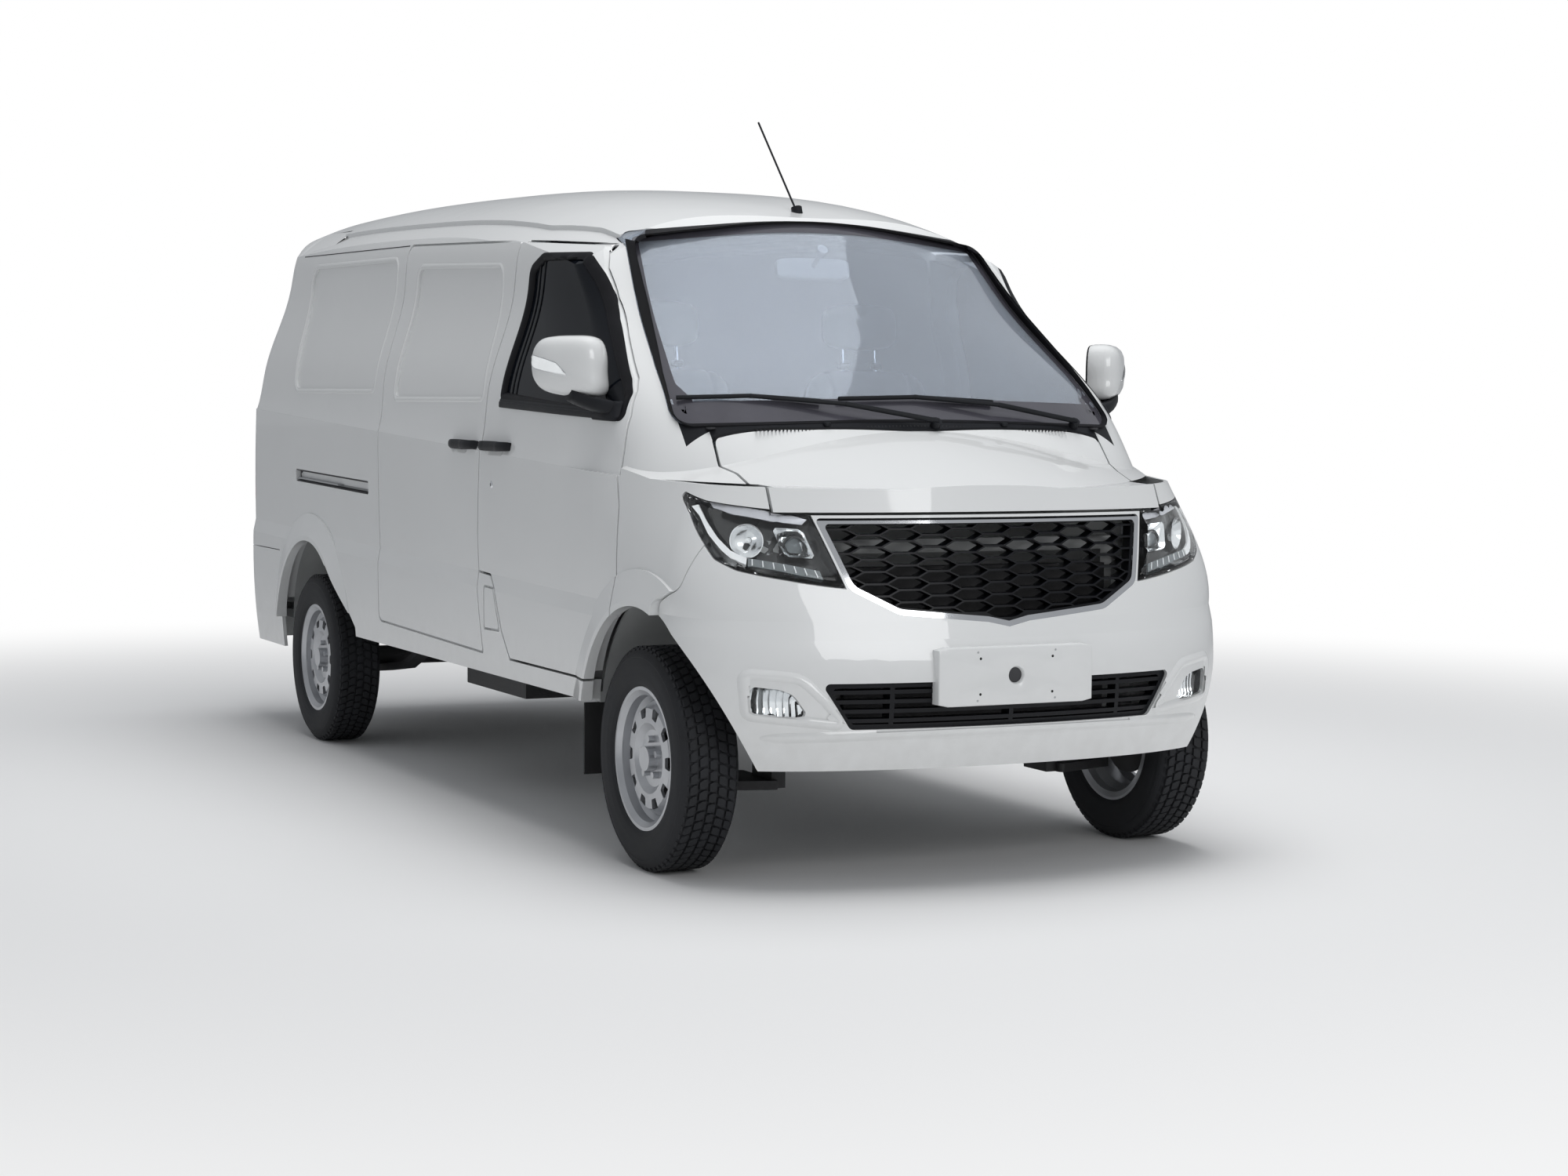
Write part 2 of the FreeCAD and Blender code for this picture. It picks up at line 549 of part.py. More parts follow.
# Bumpers, lamps and grilles
lamp_front = prism(LAMP_FRONT, "YZ", 1600, 2300)
lamp = largest(skin.cut(cavity).common(side_prism(LAMP_SIDE)).common(lamp_front))
lamp = largest(lamp.cut(hood_gap))
keep("headlamps", Part.makeCompound([lamp, mirrored(lamp)]))
lamp_cut = side_prism(LAMP_SIDE, grow=3).common(prism(LAMP_FRONT, "YZ", 1600, 2300, grow=3))
bumper_zone = prism(bumper_side, "XZ", -1200, 1200).fuse(
    box((1883, 2400), (-492, 492), (861, HOOD_LIP_Z - SEAM)))
grille_hole = prism(GRILLE_FRONT, "YZ", 1800, 2300)
mesh_hole = prism(GRILLE_FRONT, "YZ", 1800, 2300, grow=-size("surround_width"))
lower_hole = prism(LOWER_GRILLE, "YZ", 1800, 2300)
FOG_LAMP = [(-672, 517, 12), (-608, 510, 40), (-575, 496, 40), (-538, 440, 10), (-600, 443),
            (-668, 450, 14)]
FOG_SEAT = 8.0
fog_hole = prism(FOG_LAMP, "YZ", 1800, 2200)
fog_seat = prism(FOG_LAMP, "YZ", 1800, 2200, grow=FOG_SEAT)
PLATE_HOLES = [(across * size("plate_hole_across"), size("plate_centre") + up * size("plate_hole_up"))
               for across in (-0.5, 0.5) for up in (-0.5, 0.5)]
nut_seats = [box((2100, 2300), (y - 6, y + 6), (z - 6, z + 6)) for y, z in PLATE_HOLES]
front_bumper = outer_shell.common(bumper_zone).cut(
    [lamp_cut, mirrored(lamp_cut), grille_hole, lower_hole, well, mirrored(well), fog_hole,
     mirrored(fog_hole), box((1000, 2400), (-1200, 1200), (-10, size("bumper_bottom")))]
    + nut_seats)
front_bumper = largest(front_bumper)
keep("front_bumper", front_bumper)
rear_bumper = outer_shell.common(rear_bumper_zone).cut(
    [well, mirrored(well), box((-2400, -1000), (-1200, 1200), (-10, 300)),
     box((-2400, -1000), (-1200, 1200), (REAR_BUMPER_TOP - 3, FAR))])
keep("rear_bumper", largest(rear_bumper))
fog_lamp = largest(inner_shell.common(fog_seat))
keep("fog_lamps", Part.makeCompound([fog_lamp, mirrored(fog_lamp)]))

above_surround = box((1800, 2300), (-900, 900), (HOOD_LIP_Z - 20, 1000))
surround = outer_shell.common(grille_hole).cut([mesh_hole, above_surround])
keep("grille_surround", largest(surround))


def hexagon(y, z, half_width, half_height):
    """A flat-topped hexagon, a little over half as wide on top as at its points."""
    half_top = 0.52 * half_width
    return [(y - half_width, z), (y - half_top, z + half_height), (y + half_top, z + half_height),
            (y + half_width, z), (y + half_top, z - half_height), (y - half_top, z - half_height)]


def honeycomb(y_reach, z_low, z_high):
    """Wide hexagonal holes in columns, each column half a row above the last."""
    across = size("cell_pitch_across")
    pitch = size("cell_pitch_up")
    half_height = (pitch - size("cell_web")) / 2
    cells = []
    columns = int(y_reach / across) + 1
    for i in range(-columns, columns + 1):
        z = z_low + (pitch / 2 if i % 2 else 0)
        while z < z_high:
            cells.append(prism(hexagon(i * across, z, size("cell_width") / 2, half_height), "YZ", 1850, 2250))
            z += pitch
    return cells


mesh_field = prism(GRILLE_FRONT, "YZ", 1800, 2300, grow=-size("surround_width") - 4)
grille_rim = inner_shell.common(grille_hole).cut(mesh_field)
mesh = inner_shell.common(mesh_field).cut(honeycomb(440, 690, 925))
grille = mesh.fuse(grille_rim).cut([lamp, mirrored(lamp), hood_gap])
keep("grille", largest(grille))
slats = [box((1900, 2300), (-700, 700), (z, z + 10)) for z in range(424, 524, 24)]
posts = [box((1900, 2300), (y - 6, y + 6), (400, 530)) for y in (-330, 0, 330)]
lower_ring = lower_hole.cut(prism(LOWER_GRILLE, "YZ", 1800, 2300, grow=-12))
lower_bars = lower_ring.fuse(slats + posts).common(lower_hole)
keep("lower_grille", largest(inner_shell.common(lower_bars)))
plate_half = size("plate_height") / 2
plate_z = (size("plate_centre") - plate_half, size("plate_centre") + plate_half)
plate = box((2050, HALF_LENGTH), (-size("plate_width") / 2, size("plate_width") / 2), plate_z).cut(skin)
for y, z in PLATE_HOLES:
    plate = plate.cut(rod((2000, y, z), (2300, y, z), size("plate_hole")))
keep("plate_holder", largest(plate))

# Wheel housings, floor, bulkhead and seat box
HOUSING_INNER_Y = -442.0
HOUSING_FRONT_Y = -745.0
HOUSING_REAR_Y = -762.0
HOUSING_FOOT = 74.0


def housing_block(x, radius, thickness):
    """The room that a wheel housing fills above the floor."""
    start = HOUSING_FRONT_Y if x > 0 else HOUSING_REAR_Y
    room = radius + size("well_room") - size("housing_skin") + thickness
    length = HOUSING_INNER_Y - start - 2 * size("housing_skin") + thickness
    block = Part.makeCylinder(room, length, Vector(x, start, ARCH_Z), Vector(0, 1, 0))
    return block.cut(box((x - 900, x + 900), (-1000, 0), (0, ARCH_Z + HOUSING_FOOT)))


def housing(x, radius):
    """A wheel housing: a half barrel closed by a disc on its inner side."""
    outer = housing_block(x, radius, 2 * size("housing_skin"))
    return outer.cut(housing_block(x, radius, size("housing_skin")))


housings = [cavity.common(housing(x, radius)) for x, radius in ARCHES]
keep("wheel_housings", Part.makeCompound(housings + [mirrored(shape) for shape in housings]))
blocks = [housing_block(x, radius, 2 * size("housing_skin")) for x, radius in ARCHES]
both_wells = [inner_well, mirrored(inner_well)] + blocks + [mirrored(block) for block in blocks]

floor_z = (size("floor_height"), size("floor_height") + size("floor_skin"))
BULKHEAD_X = (1470.0, 1490.0)
BULKHEAD_TOP = 1100.0
BAY_HALF = 330.0
RAIL_Y = 385.0
RAIL_WIDTH = 55.0
RAIL_DEPTH = 60.0
ENGINE_X = 655.0
ENGINE_Z = 340.0
CROSS_WIDTH = 40.0
CROSS_DEPTH = 20.0
BEAM_Z = (436.0, 500.0)
BEAM_THICK = 36.0
LAMP_BAR_X = (1915.0, 1955.0)
LAMP_BAR_Z = (835.0, 870.0)
PLENUM_Z = (930.0, 942.0)
SEAT_BOX_TOP = 700.0
SEAT_BOX_WALL = 10.0


bulkhead = cavity.common(box(BULKHEAD_X, (-800, 800), (floor_z[1], BULKHEAD_TOP))).cut(both_wells)
bulkhead = bulkhead.fuse(box((BULKHEAD_X[1] - 5, 1745), (-560, 560), PLENUM_Z))
bulkhead = bulkhead.fuse([box(HINGE_ARM_X, y, (PLENUM_Z[1], 1008)) for y in both(470, 500)])
keep("bulkhead", largest(bulkhead))

seat_box = box((620, 1240), (-740, 740), (floor_z[1], SEAT_BOX_TOP)).cut(
    box((620 + SEAT_BOX_WALL, 1240 - SEAT_BOX_WALL), (-740 + SEAT_BOX_WALL, 740 - SEAT_BOX_WALL),
        (floor_z[1] - 1, SEAT_BOX_TOP - SEAT_BOX_WALL)))
keep("seat_box", largest(seat_box.cut(both_wells)))

floor = cavity.common(box((-2125, BULKHEAD_X[1]), (-800, 800), floor_z))
floor = floor.cut([box((ENGINE_X - 15, 1225), (-BAY_HALF, BAY_HALF), (0, floor_z[1] + 1))] + both_wells)
frame = []
for y in both(RAIL_Y, RAIL_Y + RAIL_WIDTH):
    frame.append(cavity.common(box((1300, 2160), y, (floor_z[1] - RAIL_DEPTH, floor_z[1]))))
for y in both(RAIL_Y, RAIL_Y + 35):
    frame.append(box(LAMP_BAR_X, y, (floor_z[1], LAMP_BAR_Z[1])))
frame.append(cavity.common(box(LAMP_BAR_X, (-720, 720), LAMP_BAR_Z)))
beam_room = stacked(LOWER, WALL + BEAM_THICK)
frame.append(stacked(LOWER, WALL).cut(beam_room).common(box((1900, 2200), (-590, 590), BEAM_Z)))
for y in both(530, 585):
    frame.append(under_skin.common(box((1980, 2200), y, BEAM_Z)).cut(beam_room))
for y in both(400, 460):
    frame.append(under_skin.common(box((-2200, -2090), y, floor_z)))
for x in (ENGINE_X + 70, ENGINE_X + size("engine_length") - 110):
    across = (x, x + CROSS_WIDTH)
    frame.append(box(across, (-BAY_HALF - CROSS_DEPTH, BAY_HALF + CROSS_DEPTH),
                     (ENGINE_Z - CROSS_DEPTH, ENGINE_Z)))
    for y in both(BAY_HALF, BAY_HALF + CROSS_DEPTH):
        frame.append(box(across, y, (ENGINE_Z - CROSS_DEPTH, floor_z[0])))
keep("floor_pan", largest(floor.fuse(frame)))

# Running gear
KINGPIN_Y = -600.0
HUB_END = HUB_FACE - GAP


def knuckle_right():
    upright = box((FRONT_X - 28, FRONT_X + 28), (KINGPIN_Y - 22, KINGPIN_Y + 22), (228, 400))
    spindle = rod((FRONT_X, KINGPIN_Y, AXLE_Z), (FRONT_X, -HUB_END, AXLE_Z), 38)
    disc = rod((FRONT_X, -HUB_END + 46, AXLE_Z), (FRONT_X, -HUB_END + 34, AXLE_Z), size("brake_radius"))
    hub = rod((FRONT_X, -HUB_END + 46, AXLE_Z), (FRONT_X, -HUB_END, AXLE_Z), size("hub_radius"))
    return largest(upright.fuse([spindle, disc, hub]))


knuckle = knuckle_right()
keep("knuckle_right", knuckle)
keep("knuckle_left", mirrored(knuckle))
cross_beam = box((FRONT_X - 60, FRONT_X + 60), (-440, 440), (250, 330))
suspension = cross_beam
for side in (-1, 1):
    arm_points = [(FRONT_X - 150, side * 430), (FRONT_X + 90, side * 430), (FRONT_X + 26, side * 626),
                  (FRONT_X - 26, side * 626)]
    arm = prism(arm_points, "XY", 204, 228, radius=12)
    post = box((FRONT_X - 60, FRONT_X + 60), sorted((side * 400, side * 440)), (204, 370))
    suspension = suspension.fuse([arm, post])
struts = []
for side in (-1, 1):
    spot = side * KINGPIN_Y
    struts.append(rod((FRONT_X, spot, 400), (FRONT_X, spot, 560), 20).fuse(
        rod((FRONT_X, spot, 545), (FRONT_X, spot, 760), 14)))
keep("front_suspension", largest(suspension))
front_housing = housing(*ARCHES[0])
strut_pair = []
for strut in struts:
    pieces = strut.cut([front_housing, mirrored(front_housing)]).Solids
    strut_pair.append(min(pieces, key=lambda solid: solid.BoundBox.ZMin))
keep("front_struts", Part.makeCompound(strut_pair))


def turned(profile, centre_y):
    """Revolves a (radius, y) profile about the wheel axis."""
    points = [Vector(radius, y, 0) for radius, y in profile]
    ring = Part.Face(Part.makePolygon(points + [points[0]])).revolve(Vector(0, 0, 0), Vector(0, 1, 0), 360)
    ring.translate(Vector(0, centre_y, 0))
    return ring


RIM_BARREL = [(187, -70), (187, -64), (173, -60), (171, -40), (152, -22), (152, 22), (166, 42), (173, 60),
              (187, 64), (187, 70), (180, 70), (165, 65), (159, 46), (145, 24), (145, -17), (163, -36),
              (165, -58), (178, -70)]
RIM_DISC = [(0, -40), (74, -40), (92, -54), (130, -52), (150, -24), (150, -15), (127, -43), (95, -45),
            (78, -30), (0, -30)]
half_tread = size("tyre_width") / 2
tyre_r = size("tyre_radius")
TYRE = [(187, -63.5), (187, -72), (205, -79), (238, -half_tread), (268, -79), (286, -68), (tyre_r, -52),
        (tyre_r, 52), (286, 68), (268, 79), (238, half_tread), (205, 79), (187, 72), (187, 63.5),
        (173.2, 60), (173.2, -60)]


def rim():
    """A pressed steel wheel: barrel, dished disc with vents, hub and five nuts."""
    disc = turned(RIM_DISC, 0)
    vents = []
    for i in range(int(size("vent_count"))):
        vent = prism([(106, -13), (132, -19), (132, 19), (106, 13)], "XZ", -80, 0, radius=5)
        vent.rotate(Vector(0, 0, 0), Vector(0, 1, 0), 360 / size("vent_count") * i)
        vents.append(vent)
    disc = disc.cut(vents)
    parts = [turned(RIM_BARREL, 0), rod((0, -30, 0), (0, -66, 0), 32)]
    for i in range(int(size("lug_count"))):
        angle = math.radians(90 + 72 * i)
        spot = (size("lug_circle") / 2 * math.cos(angle), size("lug_circle") / 2 * math.sin(angle))
        parts.append(rod((spot[0], -36, spot[1]), (spot[0], -56, spot[1]), 9))
    return largest(disc.fuse(parts))


rim_shape = rim()
tyre_shape = turned(TYRE, 0)
CORNERS = (("front_right", FRONT_X, -1), ("front_left", FRONT_X, 1), ("rear_right", REAR_X, -1),
           ("rear_left", REAR_X, 1))
for label, x, side in CORNERS:
    for kind, shape in (("rim_", rim_shape), ("tyre_", tyre_shape)):
        piece = shape.copy()
        if side > 0:
            piece = mirrored(piece)
        piece.translate(Vector(x, side * TRACK, AXLE_Z))
        keep(kind + label, piece)

axle = rod((REAR_X, -HUB_END, AXLE_Z), (REAR_X, HUB_END, AXLE_Z), size("axle_tube_radius"))
bulge = Part.makeSphere(size("differential_radius"), Vector(REAR_X, 0, AXLE_Z))
drums = []
for side in (-1, 1):
    drums.append(rod((REAR_X, side * (HUB_END - 60), AXLE_Z), (REAR_X, side * (HUB_END - 15), AXLE_Z),
                     size("brake_radius")))
    drums.append(rod((REAR_X, side * (HUB_END - 15), AXLE_Z), (REAR_X, side * HUB_END, AXLE_Z),
                     size("hub_radius")))
springs = []
for side in (-1, 1):
    y0, y1 = sorted((side * 500, side * 552))
    leaf = [(REAR_X - 540, 392), (REAR_X - 250, 292), (REAR_X, 262), (REAR_X + 250, 292), (REAR_X + 540, 392),
            (REAR_X + 540, 374), (REAR_X + 250, 268), (REAR_X, 236), (REAR_X - 250, 268), (REAR_X - 540, 374)]
    springs.append(prism(leaf, "XZ", y0, y1))
    for end in (-1, 1):
        x = REAR_X + end * 540
        springs.append(box(sorted((x - 20, x + 20)), (y0, y1), (374, 400)))
keep("rear_axle", largest(axle.fuse([bulge] + drums + springs)))

engine = doc.addObject("Part::Box", "engine_block")
engine.Label = "engine_block"
bind(engine, Length="Dimensions.engine_length", Width="Dimensions.engine_width",
     Height="Dimensions.engine_height")
engine.Placement.Base = Vector(ENGINE_X, -size("engine_width") / 2, ENGINE_Z)
nodes["engine_block"] = engine
doc.recompute()
shaft = rod((ENGINE_X, 0, 362), (REAR_X + 100, 0, 310), size("shaft_radius"))
keep("propshaft", largest(shaft.cut([bulge, engine.Shape])))
TANK_X = -380.0
TANK_INNER_Y = -80.0
tank = box((TANK_X, TANK_X + size("tank_length")), (TANK_INNER_Y - size("tank_width"), TANK_INNER_Y),
           (size("tank_bottom"), floor_z[0]))
keep("fuel_tank", tank.makeFillet(30, tank.Edges[0:4]))
PIPE_Y = 380.0
PIPE_Z = 372.0
PIPE_END_X = -2125.0
pipe_r = size("exhaust_radius")
pipe = [rod((700, 200, PIPE_Z), (560, PIPE_Y, PIPE_Z), pipe_r),
        rod((560, PIPE_Y, PIPE_Z), (PIPE_END_X, PIPE_Y, PIPE_Z), pipe_r),
        rod((-60, PIPE_Y, 330), (-560, PIPE_Y, 330), 70)]
under_floor = box((-3000, 3000), (-900, 900), (floor_z[0], 900))
keep("exhaust", largest(pipe[0].fuse(pipe[1:]).cut([engine.Shape, under_floor])))


def spare_wheel():
    """A narrow wheel and tyre that lie flat under the load floor."""
    outer = size("spare_radius")
    half = size("spare_width") / 2
    well_radius = outer - 98
    profile = [(0, 14), (66, 14), (95, -6), (well_radius - 22, -6), (well_radius, -half + 10),
               (well_radius + 8, -half), (outer - 32, -half), (outer - 6, 14 - half), (outer, 28 - half),
               (outer, half - 28), (outer - 6, half - 14), (outer - 32, half), (well_radius + 8, half),
               (well_radius, half - 10), (well_radius - 22, 6), (102, 6), (72, 26), (0, 26)]
    wheel = turned(profile, 0)
    wheel.rotate(Vector(0, 0, 0), Vector(1, 0, 0), 90)
    wheel.translate(Vector(-1830, -60, floor_z[0] - half))
    return wheel


keep("spare_wheel", largest(spare_wheel()))
RADIATOR_X = 1930.0
RADIATOR_Z = 380.0
radiator = doc.addObject("Part::Box", "radiator")
radiator.Label = "radiator"
bind(radiator, Length="Dimensions.radiator_thickness", Width="Dimensions.radiator_width",
     Height="Dimensions.radiator_height")
radiator.Placement.Base = Vector(RADIATOR_X, -size("radiator_width") / 2, RADIATOR_Z)
nodes["radiator"] = radiator
doc.recompute()

# Cab
dash_side = [(1470, 1085), (1470, 690), (1330, 690, 40), (1230, 800, 60), (1180, 960, 50), (1240, 1075, 60)]
dashboard = cavity.common(prism(dash_side, "XZ", -725, 725)).cut(both_wells)
keep("dashboard", largest(dashboard))
wheel_centre = Vector(1115, 330, 1030)
column_end = Vector(1290, 330, 930)
column_axis = (column_end - wheel_centre).normalize()
ring = Part.makeTorus(size("wheel_rim_steering"), 14, wheel_centre, column_axis)
hub = Part.makeCylinder(48, 40, wheel_centre - column_axis * 5, column_axis)
spokes = []
for direction in (Vector(0, 1, 0), Vector(0, -1, 0), column_axis.cross(Vector(0, 1, 0))):
    spokes.append(Part.makeCylinder(13, size("wheel_rim_steering"), wheel_centre + column_axis * 12, direction))
column = Part.makeCylinder(30, 260, wheel_centre, column_axis)
keep("steering_wheel", largest(ring.fuse([hub, column] + spokes).cut(dashboard)))


def seat(y):
    half = size("seat_width") / 2
    cushion = box((700, 1130), (y - half, y + half), (700, 838))
    back = prism([(690, 700), (820, 700), (740, 1330, 40), (620, 1330, 40)], "XZ", y - half, y + half)
    head = prism([(630, 1350, 30), (720, 1350, 30), (710, 1520, 30), (615, 1520, 30)], "XZ", y - 140, y + 140)
    stalks = box((660, 675), (y - 60, y + 60), (1320, 1360))
    return largest(cushion.fuse([back, head, stalks]))


keep("seats", Part.makeCompound([seat(330), seat(-330)]))

# Fittings
HANDLE_Y = (-838.0, -800.0)
HANDLE_HALF = 16.0
handle_z = (HANDLE_Z - HANDLE_HALF, HANDLE_Z + HANDLE_HALF)
door_handle = largest(box((FRONT_HANDLE_X - 117, FRONT_HANDLE_X + 117), HANDLE_Y, handle_z).cut(skin))
keep("door_handle_right", door_handle)
keep("door_handle_left", mirrored(door_handle))
slide_handle = box((SLIDING_HANDLE_X - 114, SLIDING_HANDLE_X + 114), HANDLE_Y, handle_z)
slide_handle = largest(slide_handle.cut(skin))
keep("sliding_handles", Part.makeCompound([slide_handle, mirrored(slide_handle)]))


MIRROR_MIDDLE = Vector(1258, -856, 1306)
MIRROR_TURN = -133.9


def mirror_right():
    """Door mirror: a rounded housing, swept back, on a foot at the window's front corner."""
    length, thickness, height = size("mirror_length"), size("mirror_thickness"), size("mirror_height")
    shell = Part.makeBox(length, thickness, height, Vector(-length / 2, -thickness / 2, -height / 2))
    shell = shell.makeFillet(size("mirror_round"), shell.Edges)
    shell.rotate(Vector(0, 0, 0), Vector(0, 0, 1), MIRROR_TURN)
    shell.translate(MIRROR_MIDDLE)
    foot = prism([(1262, 1160), (1392, 1160), (1372, 1212), (1282, 1212)], "XZ", -830, -700)
    arm = prism([(1365, -760), (1365, -800), (1290, -872), (1235, -872), (1262, -800), (1285, -760)],
                "XY", 1190, 1240, radius=8)
    return largest(shell.fuse([foot, arm]).cut([house(size("glass_depth")), front_door, door_glass]))


door_mirror = mirror_right()
keep("mirror_right", door_mirror)
keep("mirror_left", mirrored(door_mirror))
flap_plate = box((1234, 1240), (-792, -620), (size("flap_bottom"), floor_z[0]))
keep("mud_flaps", Part.makeCompound([flap_plate, mirrored(flap_plate)]))

antenna_foot = rod((915, 0, 1735), (900, 0, 1775), 16).cut(skin)
antenna_rod = rod((905, 0, 1760), (640, 0, 2040), 3)
keep("antenna", largest(antenna_rod.cut(skin).fuse(antenna_foot)))


def screen_point(y, z, lift):
    """A point above the windscreen, found along the driving direction."""
    line = Part.makeLine(Vector(2300, y, z), Vector(600, y, z)).common(screen_solid)
    x = max(vertex.Point.x for vertex in line.Vertexes)
    return (x + lift * 0.66, y, z + lift * 0.75)


screen_solid = house(2)


def wiper(pivot_y, near_y, far_y):
    """An arm from its stand on the cowl to the middle of a blade."""
    middle_y = (near_y + far_y) / 2
    middle = screen_point(middle_y, 1222, 12)
    knee = screen_point((pivot_y + middle_y) / 2, 1192, 26)
    root = screen_point(pivot_y, 1152, 22)
    pieces = [rod(screen_point(pivot_y, 1152, -6), root, 14), rod(root, knee, 7), rod(knee, middle, 6),
              rod(screen_point(near_y, 1210, 12), middle, 6), rod(middle, screen_point(far_y, 1216, 12), 6)]
    pieces += [Part.makeSphere(7, Vector(*spot)) for spot in (root, knee, middle)]
    return largest(pieces[0].fuse(pieces[1:]).cut(skin))


keep("wipers", Part.makeCompound([wiper(50, -262, -640), wiper(510, 265, -205)]))

doc.recompute()
for item in doc.Objects:
    if "Invalid" in item.State or "Error" in item.State:
        raise RuntimeError("object %s is %s" % (item.Name, item.State))
for name, item in nodes.items():
    if item.Shape.isNull() or not item.Shape.isValid():
        raise RuntimeError("node %s has a bad shape" % name)
os.makedirs("parts", exist_ok=True)
for name, item in nodes.items():
    item.Shape.exportStep("parts/%s.step" % name)
    around = item.Shape.optimalBoundingBox(False)
    print("%-20s %d solids %.2f dm3  x %.0f..%.0f y %.0f..%.0f z %.0f..%.0f" % (
        name, len(item.Shape.Solids), item.Shape.Volume / 1e6, around.XMin, around.XMax,
        around.YMin, around.YMax, around.ZMin, around.ZMax))
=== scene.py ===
import math

import bmesh
import bpy
from mathutils import Matrix, Vector
from mathutils.bvhtree import BVHTree


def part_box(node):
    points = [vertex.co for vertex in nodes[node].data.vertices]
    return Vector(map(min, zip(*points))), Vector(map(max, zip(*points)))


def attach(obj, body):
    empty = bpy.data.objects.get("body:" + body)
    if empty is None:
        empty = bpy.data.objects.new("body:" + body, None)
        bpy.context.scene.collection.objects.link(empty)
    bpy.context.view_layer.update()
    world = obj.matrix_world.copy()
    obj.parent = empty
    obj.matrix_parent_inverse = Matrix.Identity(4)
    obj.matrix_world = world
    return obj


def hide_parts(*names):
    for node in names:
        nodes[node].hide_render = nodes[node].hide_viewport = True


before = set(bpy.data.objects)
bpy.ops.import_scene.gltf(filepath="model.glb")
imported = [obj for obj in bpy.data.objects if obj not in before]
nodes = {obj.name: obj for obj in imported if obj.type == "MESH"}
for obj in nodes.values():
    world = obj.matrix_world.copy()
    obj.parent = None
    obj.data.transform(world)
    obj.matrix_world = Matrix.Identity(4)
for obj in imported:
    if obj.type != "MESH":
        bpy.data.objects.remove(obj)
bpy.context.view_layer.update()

# The camera stands ahead of the van's right-hand front corner, a little above the bumper.
# Its turn, dip and roll were found from the wheels, the axles' spacing and the body's edges.
turn, dip, roll = math.radians(153.95), math.radians(-4.07), math.radians(0.48)
ahead = Vector((math.cos(dip) * math.cos(turn), math.cos(dip) * math.sin(turn), math.sin(dip)))
level_right = ahead.cross(Vector((0, 0, 1))).normalized()
level_up = level_right.cross(ahead)
camera_right = level_right * math.cos(roll) + level_up * math.sin(roll)
camera_up = level_up * math.cos(roll) - level_right * math.sin(roll)
lens = bpy.data.cameras.new("camera")
lens.lens, lens.sensor_width = 63.9, 36.0
lens.clip_end = 300
camera = bpy.data.objects.new("camera", lens)
bpy.context.scene.collection.objects.link(camera)
camera.matrix_world = Matrix.Translation((8.194, -3.595, 1.247)) @ Matrix((camera_right, camera_up,
    -ahead)).transposed().to_4x4()
bpy.context.scene.camera = camera
bpy.context.scene.view_settings.view_transform = "Standard"

# The van stands on a white studio floor under an even white sky, with a wide soft lamp overhead and
# a second one ahead. Camera rays and rays through glass see the far floor and the sky as plain white.


def add(tree, kind, **sockets):
    """A shader node with values on its inputs, whose names have underscores for spaces."""
    node = tree.nodes.new("ShaderNode" + kind)
    for socket, value in sockets.items():
        node.inputs[socket.replace("_", " ")].default_value = value
    return node


def wire(tree, *pairs):
    """Links outputs to inputs, pair by pair."""
    for source, target in pairs:
        tree.links.new(source, target)


def camera_or_glass(tree):
    """An output that is 1 for camera rays and for rays through glass, else 0."""
    seen, either = add(tree, "LightPath"), add(tree, "Math")
    either.operation = "MAXIMUM"
    wire(tree, (seen.outputs["Is Camera Ray"], either.inputs[0]),
        (seen.outputs["Is Transmission Ray"], either.inputs[1]))
    return either.outputs[0]


sky = bpy.data.worlds.new("sky")
bpy.context.scene.world = sky
sky.use_nodes = True
tree = sky.node_tree
tree.nodes.clear()
dome = add(tree, "Background", Color=(0.93, 0.96, 1.0, 1), Strength=0.38)
plain = add(tree, "Background", Color=(1, 1, 1, 1), Strength=1.0)
blend, out = add(tree, "MixShader"), add(tree, "OutputWorld")
wire(tree, (camera_or_glass(tree), blend.inputs[0]), (dome.outputs[0], blend.inputs[1]),
    (plain.outputs[0], blend.inputs[2]), (blend.outputs[0], out.inputs["Surface"]))


def softbox(name, place, aim, wide, deep, power, mirrored):
    """A flat lamp with even light, turned towards a point, and seen or unseen in gloss."""
    lamp = bpy.data.lights.new(name, "AREA")
    lamp.shape, lamp.size, lamp.size_y, lamp.energy = "RECTANGLE", wide, deep, power
    box = bpy.data.objects.new(name, lamp)
    box.location = place
    box.rotation_euler = (Vector(aim) - Vector(place)).to_track_quat("-Z", "Y").to_euler()
    box.visible_glossy = mirrored
    bpy.context.scene.collection.objects.link(box)


softbox("overhead", (0.4, 0.4, 6.5), (0.2, 0, 0.8), 6.0, 4.0, 300, False)
softbox("front_fill", (8.5, 0.5, 3.6), (1.5, 0, 0.9), 4.0, 2.5, 115, True)

